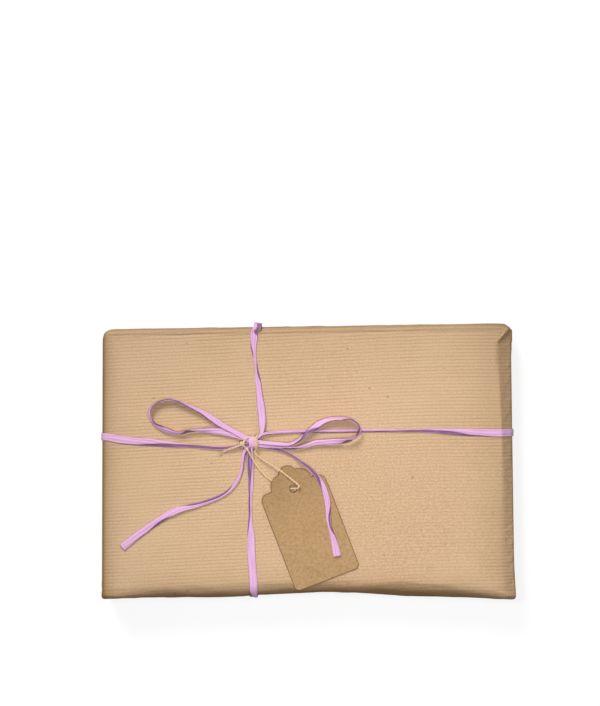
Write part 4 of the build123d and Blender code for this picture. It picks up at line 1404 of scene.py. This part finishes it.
def tag_outline():
    """The tag's outline, from the middle of its foot round its right side and back."""
    half = TAG_WIDTH / 2
    crown_foot = TAG_LENGTH - TAG_CROWN_HEIGHT
    shoulder = crown_foot - TAG_SIDE_LOBE_HEIGHT
    notch = TAG_CROWN_WIDTH / 2 + TAG_SIDE_LOBE_WIDTH
    crown_radius = (TAG_CROWN_WIDTH**2 / 4 + TAG_CROWN_HEIGHT**2) / (2 * TAG_CROWN_HEIGHT)
    corner, rounding = TAG_CORNER_RADIUS, TAG_SHOULDER_RADIUS
    right = [
        np.array([(0, 0)]),
        turned_arc((half - corner, corner), corner, -90, 0, 8),
        turned_arc((half - rounding, shoulder - rounding), rounding, 0, 90, 10),
        bulging_arc((notch, shoulder), (TAG_CROWN_WIDTH / 2, crown_foot), TAG_SIDE_LOBE_RADIUS),
        bulging_arc((TAG_CROWN_WIDTH / 2, crown_foot), (0, TAG_LENGTH), crown_radius)[1:],
    ]
    right = np.vstack(right)
    return np.vstack([right, (right * (-1, 1))[-2:0:-1]])


def inset(outline, distance):
    """A closed outline, drawn in by a distance."""
    ahead = unit(np.roll(outline, -1, axis=0) - outline)
    behind = unit(outline - np.roll(outline, 1, axis=0))
    inwards = unit(ahead + behind)[:, ::-1] * (-1, 1)
    return outline + inwards * distance


def card_tag(card):
    """The tag as a card with die-cut edges, a little rounded and darker than its faces, with painted
    shade fading in over the faces beside them.
    """
    across, along, normal = tag_axes()
    angles = np.linspace(0, -2 * pi, 37)[:-1]
    hole_y = TAG_LENGTH - TAG_HOLE_FROM_TOP
    hole = np.stack([np.cos(angles), np.sin(angles)], axis=1) * TAG_HOLE_DIAMETER / 2 + (0, hole_y)
    # Each level: how far in from the outline, how high over the lower face, and the share of the edge
    # colour, which is darker card on the cut and painted shade fading in over the faces
    levels = (
        (CARD_EDGE_FADE, 0.0, 0.0),
        (CARD_EDGE_ROUNDING, 0.0, 1.0),
        (0.0, CARD_EDGE_ROUNDING, 1.0),
        (0.0, TAG_THICKNESS - CARD_EDGE_ROUNDING, 1.0),
        (CARD_EDGE_ROUNDING, TAG_THICKNESS, 1.0),
        (CARD_EDGE_FADE, TAG_THICKNESS, 0.0),
    )
    work = bmesh.new()
    edge = work.verts.layers.float.new("edge")
    borders = [[], []]
    for outline in (tag_outline(), hole):
        rows = []
        for distance, height, share in levels:
            row = []
            for x, y in inset(outline, distance):
                place = KNOT + TAG_FOOT + across * x + along * y + normal * height
                corner = work.verts.new(metres(place))
                corner[edge] = share
                row.append(corner)
            rows.append(row)
        for lower, upper in zip(rows, rows[1:]):
            for i in range(len(lower)):
                j = (i + 1) % len(lower)
                work.faces.new((lower[i], lower[j], upper[j], upper[i]))
        for border, row in zip(borders, (rows[0], rows[-1])):
            border += [work.edges.get((row[i - 1], row[i])) for i in range(len(row))]
    for border in borders:
        bmesh.ops.triangle_fill(work, use_beauty=True, edges=border)
    bmesh.ops.recalc_face_normals(work, faces=work.faces)
    mesh = bpy.data.meshes.new("card_tag")
    work.to_mesh(mesh)
    work.free()
    mesh.materials.append(card)
    return shown("card_tag", mesh)


# Twine

# Its route, measured from the bow's knot, from its frayed end through the tag's hole and back
TWINE_ROUTE = [
    (-17.4, -5.5, 1.2),
    (-13.6, -3.9, 2.1),
    (-9.4, -2.6, 2.6),
    (-5.7, -1.2, 2.9),
    (-3.6, -3.2, 2.9),
    (-1.3, -6.6, 2.5),
    (1.0, -11.1, 1.9),
    (4.4, -16.3, 1.2),
    (8.4, -20.6, 1.0),
    (13.2, -24.0, 1.0),
    (18.5, -26.4, 1.1),
    (22.6, -27.4, 1.3),
    (24.5, -27.6, 1.8),
    (26.2, -27.3, 3.2),
    (27.7, -27.2, 4.2),
    (28.4, -26.1, 4.3),
    (27.4, -24.8, 4.2),
    (25.0, -23.1, 4.1),
    (21.0, -19.8, 4.0),
    (16.4, -16.4, 3.7),
    (10.4, -12.6, 2.4),
    (5.0, -9.4, 2.0),
    (2.0, -6.9, 2.0),
    (1.6, -4.6, 1.9),
    (3.0, -3.6, 3.0),
    (3.0, -0.6, 4.1),
    (3.1, 2.0, 3.9),
    (1.7, 3.2, 2.4),
    (-1.3, 3.1, 2.2),
    (-2.8, 3.0, 3.2),
    (-5.2, 0.6, 3.5),
]
SECOND_TURN = [
    (1.8, -5.4, 1.4),
    (2.3, -3.9, 3.0),
    (2.2, -1.6, 4.2),
    (2.2, 1.2, 4.2),
    (2.8, 3.4, 3.4),
    (3.8, 5.2, 2.0),
]
TWINE_KNOT_POINT = 3
TWINE_KNOT_ASIDE = (0.2, 0.6, 0.4)
TWINE_KNOT_SIZE = 2.6
TWINE_SPACING = 0.22
# Shares of the twine's diameter
PLY_FROM_MIDDLE = 0.28
PLY_RADIUS = 0.33
FRAYED_FIBRES = 12


def evenly(line):
    """A line in metres with its points evenly spaced, and how far along it each lies."""
    walked = np.concatenate([[0], np.cumsum(np.linalg.norm(np.diff(line, axis=0), axis=1))])
    even = np.linspace(0, walked[-1], int(walked[-1] / (TWINE_SPACING * MM)))
    return np.stack([np.interp(even, walked, line[:, k]) for k in range(3)], axis=1), even


def twine_line():
    """The twine's smooth line in metres, from its frayed end to its knot."""
    curve = bpy.data.curves.new("twine_route", "CURVE")
    curve.dimensions = "3D"
    spline = curve.splines.new("NURBS")
    spline.points.add(len(TWINE_ROUTE) - 1)
    for point, place in zip(spline.points, TWINE_ROUTE):
        point.co = (*metres(KNOT + place), 1)
    spline.order_u = 3
    spline.use_endpoint_u = True
    spline.resolution_u = 16
    route = shown("twine_route", curve)
    depsgraph = bpy.context.evaluated_depsgraph_get()
    mesh = bpy.data.meshes.new_from_object(route.evaluated_get(depsgraph))
    line = np.array([v.co[:] for v in mesh.vertices])
    bpy.data.objects.remove(route)
    bpy.data.meshes.remove(mesh)
    return evenly(line)


def rings(line, radius, sides=7):
    """Rings of points round a line, with no twist of their own."""
    along = unit(np.gradient(line, axis=0))
    level = np.cross(along[0], (0.3, 0.2, 1.0))
    grid = []
    for point, direction in zip(line, along):
        level = level - direction * level.dot(direction)
        level = level / np.linalg.norm(level)
        upright = np.cross(direction, level)
        turns = np.linspace(0, 2 * pi, sides, endpoint=False)[:, None]
        grid.append(point + (np.cos(turns) * level + np.sin(turns) * upright) * radius)
    return np.array(grid)


def tube_mesh(name, tubes):
    """Closed tubes from their rings, in metres."""
    points, faces = [], []
    for grid in tubes:
        first, (count, sides) = len(points), grid.shape[:2]
        points += grid.reshape(-1, 3).tolist()
        for ring in range(count - 1):
            for side in range(sides):
                a = first + ring * sides + side
                b = first + ring * sides + (side + 1) % sides
                faces.append((a, b, b + sides, a + sides))
        faces.append(tuple(first + side for side in reversed(range(sides))))
        faces.append(tuple(first + (count - 1) * sides + side for side in range(sides)))
    mesh = bpy.data.meshes.new(name)
    mesh.from_pydata(points, [], faces)
    mesh.shade_smooth()
    return mesh


def plied(line, walked, look):
    """Two plies twisted round a line, in metres."""
    sides = 36
    centre = rings(line, look.twine_diameter * PLY_FROM_MIDDLE, sides)
    turn = (walked / look.twine_lay) % 1
    tubes = []
    for start in (0.0, 0.5):
        place = ((turn + start) % 1) * sides
        low = np.floor(place).astype(int)
        share = (place - low)[:, None]
        rows = np.arange(len(line))
        ply = centre[rows, low % sides] * (1 - share) + centre[rows, (low + 1) % sides] * share
        tubes.append(rings(ply, look.twine_diameter * PLY_RADIUS, sides=7))
    return tubes


def hair_tree():
    """Geometry nodes that let short fibres stand off a yarn."""
    tree, given = new_tree(
        "yarn_hairs",
        {
            "Hairs per area": "NodeSocketFloat",
            "Hair length": "NodeSocketFloat",
            "Hair radius": "NodeSocketFloat",
            "Seed": "NodeSocketInt",
            "Yarn": "NodeSocketMaterial",
        },
    )
    roots = add_node(
        tree,
        "GeometryNodeDistributePointsOnFaces",
        {"Mesh": given["Geometry"], "Density": given["Hairs per area"], "Seed": given["Seed"]},
    )
    hair = add_node(
        tree,
        "GeometryNodeMeshCone",
        {
            "Vertices": 3,
            "Side Segments": 3,
            "Radius Top": 0.0,
            "Radius Bottom": given["Hair radius"],
            "Depth": given["Hair length"],
        },
    )
    lean = add_node(
        tree,
        "FunctionNodeRandomValue",
        {0: (-1.3, -1.3, -3.1), 1: (1.3, 1.3, 3.1), "Seed": given["Seed"]},
        data_type="FLOAT_VECTOR",
    )
    turned = add_node(
        tree,
        "FunctionNodeRotateEuler",
        {"Rotation": roots.outputs["Rotation"], "Rotate By": lean.outputs[0]},
        rotation_type="EULER",
        space="LOCAL",
    )
    size = add_node(
        tree,
        "FunctionNodeRandomValue",
        {2: 0.35, 3: 1.0, "Seed": given["Seed"]},
        data_type="FLOAT",
    )
    hairs = add_node(
        tree,
        "GeometryNodeInstanceOnPoints",
        {
            "Points": roots.outputs["Points"],
            "Instance": hair.outputs["Mesh"],
            "Rotation": turned.outputs[0],
            "Scale": size.outputs[1],
        },
    )
    both = tree.nodes.new("GeometryNodeJoinGeometry")
    tree.links.new(hairs.outputs[0], both.inputs[0])
    tree.links.new(given["Geometry"], both.inputs[0])
    end_tree(tree, both.outputs[0], given["Yarn"])
    return tree


def hairy(name, tubes, look, yarn):
    """A piece of closed tubes with fibres standing off them."""
    piece = shown(f"{name}_base", tube_mesh(f"{name}_base", tubes))
    tree = bpy.data.node_groups.get("yarn_hairs") or hair_tree()
    with_nodes(
        piece,
        tree,
        {
            "Hairs per area": look.hairs_per_area,
            "Hair length": look.hair_length,
            "Hair radius": look.hair_length * 0.018,
            "Seed": look.hair_seed,
            "Yarn": yarn,
        },
    )
    return finished(piece, name)


def overhand_knot(centre, size, look):
    """An overhand knot drawn tight, as a closed tube."""
    turns = np.linspace(0, 2 * pi, 61)[:-1]
    x = np.sin(turns) + 2 * np.sin(2 * turns)
    y = np.cos(turns) - 2 * np.cos(2 * turns)
    z = -np.sin(3 * turns)
    line = np.stack([x, y, z * 1.1], axis=1) * size / 6 + centre
    return rings(np.vstack([line, line[:1]]), look.twine_diameter * 0.45, sides=8)


def frayed_end(line, look):
    """Loose fibres that fan out of the twine's open end."""
    outwards = unit(line[0] - line[12])
    fibres = []
    for index in range(FRAYED_FIBRES):
        aside, over, longer = [noise.noise(Vector((index, row, 0))) for row in (0.3, 4.3, 8.1)]
        reach = 2.2 + 6.4 * abs(longer)
        steps = np.linspace(0, 1, 9)[:, None]
        bend = np.array((aside, over, 0.1)) * 3.4 + np.array((0.25, -0.9, -0.35)) * (index % 4) * 1.5
        path = line[0] + (outwards * reach * steps + bend * steps**2) * MM
        path[:, 2] = np.maximum(path[:, 2], (PARCEL_HEIGHT + 0.15) * MM)
        fibres.append(rings(path, look.twine_diameter * 0.06, sides=4))
    return fibres


def second_turn(look):
    """The twine's second turn beside the bow's knot, and the fine fibres that stick up from it."""
    turn, walked = evenly(metres(KNOT + smooth(SECOND_TURN, 0.3)[0]))
    tubes = plied(turn, walked, look)
    for index in range(4):
        steps = np.linspace(0, 1, 12)[:, None]
        sway = noise.noise(Vector((index, 2.7, 0)))
        tip = np.array((2.4 + 2.2 * sway, 16 + 5 * (index % 2), 2.6 + index * 0.4))
        bend = np.array((1.4 - 0.9 * index, 0, 0.8)) * np.sin(pi * steps)
        path = KNOT + (2.8, 3.6, 3.2) * (1 - steps) + tip * steps + bend
        tubes.append(rings(metres(path), look.twine_diameter * 0.07, sides=4))
    return tubes


# Settings and operators


class PaperLook(bpy.types.PropertyGroup):
    """Sizes and colours of the wrapping paper."""

    rib_pitch: FloatProperty(
        name="Rib pitch", description="From one rib to the next", default=2.07 * MM, unit="LENGTH"
    )
    rib_depth: FloatProperty(
        name="Rib depth",
        description="How deep the grooves are pressed",
        default=0.08 * MM,
        unit="LENGTH",
    )
    slack_height: FloatProperty(
        name="Slack", description="How unevenly the paper lies", default=0.9 * MM, unit="LENGTH"
    )
    crumple_height: FloatProperty(
        name="Crumple", description="How crumpled its rims are", default=1.3 * MM, unit="LENGTH"
    )
    # Painted shade at the foot of a groove
    groove_shade_darkness: FloatProperty(
        name="Groove darkness",
        description="How dark the foot of a groove is",
        default=0.55,
        min=0,
        max=1,
    )
    paper_light: FloatVectorProperty(
        name="Light paper",
        description="Paper where it is palest",
        subtype="COLOR",
        default=linear("#e9c8a3"),
    )
    paper_shade: FloatVectorProperty(
        name="Darker paper",
        description="Paper where its pulp is darker",
        subtype="COLOR",
        default=linear("#dfbb94"),
    )
    paper_fibre: FloatVectorProperty(
        name="Fibres",
        description="Brown fibres along the ribs",
        subtype="COLOR",
        default=linear("#b78f68"),
    )
    # Painted shade at the foot of a groove
    paper_groove_shade: FloatVectorProperty(
        name="Grooves",
        description="Paper at the foot of a groove",
        subtype="COLOR",
        default=linear("#a28058"),
    )
    # This tint paints shade along the rims, where the paper turns from the light
    paper_rim_shade: FloatVectorProperty(
        name="Rims",
        description="Tint of the paper that is rubbed along its rims",
        subtype="COLOR",
        default=linear("#aa9e84"),
    )
    paper_fleck: FloatVectorProperty(
        name="Flecks",
        description="Rare dark flecks of bark",
        subtype="COLOR",
        default=linear("#7b5632"),
    )


class RaffiaLook(bpy.types.PropertyGroup):
    """Colours of the paper raffia."""

    # Painted highlight on the crests of the creases
    raffia_crest_highlight: FloatVectorProperty(
        name="Crests",
        description="Raffia on the crest of a crease",
        subtype="COLOR",
        default=linear("#ebb8e0"),
    )
    raffia_flat: FloatVectorProperty(
        name="Flats",
        description="Raffia between its creases",
        subtype="COLOR",
        default=linear("#d09ace"),
    )
    # Painted shade in the folds and along the edges
    raffia_fold_shade: FloatVectorProperty(
        name="Folds", description="Raffia deep in a crease", subtype="COLOR", default=linear("#6f4468")
    )


class TagLook(bpy.types.PropertyGroup):
    """Colours of the tag and the tape, and sizes and colours of the twine."""

    card_light: FloatVectorProperty(
        name="Light card",
        description="Card where it is palest",
        subtype="COLOR",
        default=linear("#caa57b"),
    )
    card_shade: FloatVectorProperty(
        name="Darker card",
        description="Card where its pulp is darker",
        subtype="COLOR",
        default=linear("#bb9669"),
    )
    card_fleck: FloatVectorProperty(
        name="Card flecks",
        description="Bark flecks in the card",
        subtype="COLOR",
        default=linear("#94703f"),
    )
    # Darker card on the cut edges, and painted shade beside them and over the tag's head
    card_edge_and_shade: FloatVectorProperty(
        name="Card edge",
        description="Card where it was cut",
        subtype="COLOR",
        default=linear("#6d4f2e"),
    )
    jute_light: FloatVectorProperty(
        name="Light jute",
        description="Fibres that catch the light",
        subtype="COLOR",
        default=linear("#ffe9c2"),
    )
    jute_shade: FloatVectorProperty(
        name="Dark jute",
        description="Fibres between the plies",
        subtype="COLOR",
        default=linear("#d6b07c"),
    )
    tape: FloatVectorProperty(
        name="Tape", description="Clear film over the paper", subtype="COLOR", default=linear("#f2eee2")
    )
    twine_diameter: FloatProperty(
        name="Twine diameter", description="Across both plies", default=1.0 * MM, unit="LENGTH"
    )
    twine_lay: FloatProperty(
        name="Lay", description="Length of one full twist of the plies", default=3.4 * MM, unit="LENGTH"
    )
    hair_length: FloatProperty(
        name="Hair length",
        description="Longest fibre that stands off the twine",
        default=1.5 * MM,
        unit="LENGTH",
    )
    hairs_per_area: FloatProperty(
        name="Hairs per area", description="Fibres for each square metre of yarn", default=1.1e6
    )
    hair_seed: IntProperty(name="Hair seed", description="Which fibres stand off", default=11)


class PARCEL_OT_wrap(bpy.types.Operator):
    """Wraps the box in ribbed kraft paper, with its folded ends"""

    bl_idname = "parcel.wrap"
    bl_label = "Wrap in paper"

    def execute(self, context):
        look = context.scene.parcel_paper
        paper = kraft_wrapping_paper(look)
        seat(wrap_sheet(look, paper), "kraft_paper", "wrapped_parcel")
        for side in (-1, 1):
            seat(end_fold(side, look, paper), "kraft_paper", "wrapped_parcel")
        return {"FINISHED"}


class PARCEL_OT_tie(bpy.types.Operator):
    """Ties the raffia round the parcel and in a bow"""

    bl_idname = "parcel.tie"
    bl_label = "Tie the raffia"

    def execute(self, context):
        raffia = crinkled_paper_raffia(context.scene.parcel_raffia)
        seat(raffia_strip(raffia), "paper_raffia", "raffia_ribbon")
        return {"FINISHED"}


class PARCEL_OT_tag(bpy.types.Operator):
    """Finishes the gift tag and hangs it on its twine"""

    bl_idname = "parcel.tag"
    bl_label = "Hang the tag"

    def execute(self, context):
        look = context.scene.parcel_tag
        seat(card_tag(kraft_tag_card(look)), "kraft_card", "gift_tag")
        yarn = jute_yarn(look)
        line, walked = twine_line()
        centre = metres(KNOT + TWINE_ROUTE[TWINE_KNOT_POINT] + np.array(TWINE_KNOT_ASIDE))
        twine = hairy("jute_twine", plied(line, walked, look), look, yarn)
        knot = hairy("twine_knot", [overhand_knot(centre, TWINE_KNOT_SIZE * MM, look)], look, yarn)
        fray_mesh = tube_mesh("frayed_end", frayed_end(line, look))
        fray_mesh.materials.append(yarn)
        fray = shown("frayed_end", fray_mesh)
        turn = hairy("second_turn", second_turn(look), look, yarn)
        for piece in (twine, knot, fray, turn):
            seat(piece, "jute", "tag_twine")
        return {"FINISHED"}


class PARCEL_OT_tape(bpy.types.Operator):
    """Gives the strips of tape their clear film"""

    bl_idname = "parcel.tape"
    bl_label = "Finish the tape"

    def execute(self, context):
        film = clear_adhesive_tape(context.scene.parcel_tag)
        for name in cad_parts:
            if name.startswith("tape_"):
                finish_node(name, film)
        return {"FINISHED"}


class PARCEL_OT_stage(bpy.types.Operator):
    """Sets the floor, the lights and the camera straight above"""

    bl_idname = "parcel.stage"
    bl_label = "Set the stage"

    def execute(self, context):
        scene = context.scene
        scene.view_settings.view_transform = "Standard"
        floor_mesh = bpy.data.meshes.new("floor")
        ways = ((-1, -1), (1, -1), (1, 1), (-1, 1))
        corners = [(x * FLOOR_REACH, y * FLOOR_REACH, 0) for x, y in ways]
        floor_mesh.from_pydata(corners, [], [(0, 1, 2, 3)])
        floor_mesh.materials.append(studio_floor())
        shown("floor", floor_mesh)

        world = bpy.data.worlds.new("studio")
        world.use_nodes = True
        tree = world.node_tree
        tree.nodes.clear()
        level = add_node(
            tree, "ShaderNodeMapRange", {"Value": looked_at(tree), "To Min": WORLD_LIGHT, "To Max": 1.0}
        ).outputs[0]
        sky = add_node(tree, "ShaderNodeBackground", {"Color": WHITE, "Strength": level}).outputs[0]
        add_node(tree, "ShaderNodeOutputWorld", {"Surface": sky})
        scene.world = world

        for name, (place, size, power) in {"window": WINDOW, "lamp": LAMP}.items():
            light = bpy.data.lights.new(name, "AREA")
            light.size = size
            light.energy = power
            lamp = bpy.data.objects.new(name, light)
            lamp.location = place
            lamp.rotation_euler = (-Vector(place)).to_track_quat("-Z", "Y").to_euler()
            lamp.visible_camera = False
            scene.collection.objects.link(lamp)

        camera = bpy.data.cameras.new("camera")
        eye = bpy.data.objects.new("camera", camera)
        scene.collection.objects.link(eye)
        eye.location = (*CAMERA_ASIDE, PARCEL_HEIGHT * MM + CAMERA_HEIGHT)
        camera.sensor_width = SENSOR_WIDTH
        camera.lens = SENSOR_WIDTH * CAMERA_HEIGHT / PICTURE_HEIGHT
        scene.camera = eye
        return {"FINISHED"}


class PARCEL_PT_panel(bpy.types.Panel):
    """Lists the steps that dress the parcel"""

    bl_label = "Wrapped parcel"
    bl_idname = "PARCEL_PT_panel"
    bl_space_type = "VIEW_3D"
    bl_region_type = "UI"
    bl_category = "Parcel"

    def draw(self, context):
        for group in GROUPS:
            settings = getattr(context.scene, group)
            box = self.layout.box()
            for name in settings.bl_rna.properties.keys():
                if name not in ("rna_type", "name"):
                    box.prop(settings, name)
        for operator in STEPS:
            self.layout.operator(operator.bl_idname)


GROUPS = {"parcel_paper": PaperLook, "parcel_raffia": RaffiaLook, "parcel_tag": TagLook}
STEPS = (PARCEL_OT_stage, PARCEL_OT_wrap, PARCEL_OT_tie, PARCEL_OT_tag, PARCEL_OT_tape)


def register():
    """Makes the settings, the steps and the panel known."""
    for group in GROUPS.values():
        bpy.utils.register_class(group)
    for name, group in GROUPS.items():
        setattr(bpy.types.Scene, name, PointerProperty(type=group))
    for operator in STEPS:
        bpy.utils.register_class(operator)
    bpy.utils.register_class(PARCEL_PT_panel)


def unregister():
    """Takes away what register has made known."""
    bpy.utils.unregister_class(PARCEL_PT_panel)
    for operator in reversed(STEPS):
        bpy.utils.unregister_class(operator)
    for name in GROUPS:
        delattr(bpy.types.Scene, name)
    for group in GROUPS.values():
        bpy.utils.unregister_class(group)


def main():
    """Dresses the parcel step by step."""
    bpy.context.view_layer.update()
    register()
    bpy.ops.parcel.stage()
    bpy.ops.parcel.wrap()
    bpy.ops.parcel.tie()
    bpy.ops.parcel.tag()
    bpy.ops.parcel.tape()


if __name__ == "__main__":
    main()
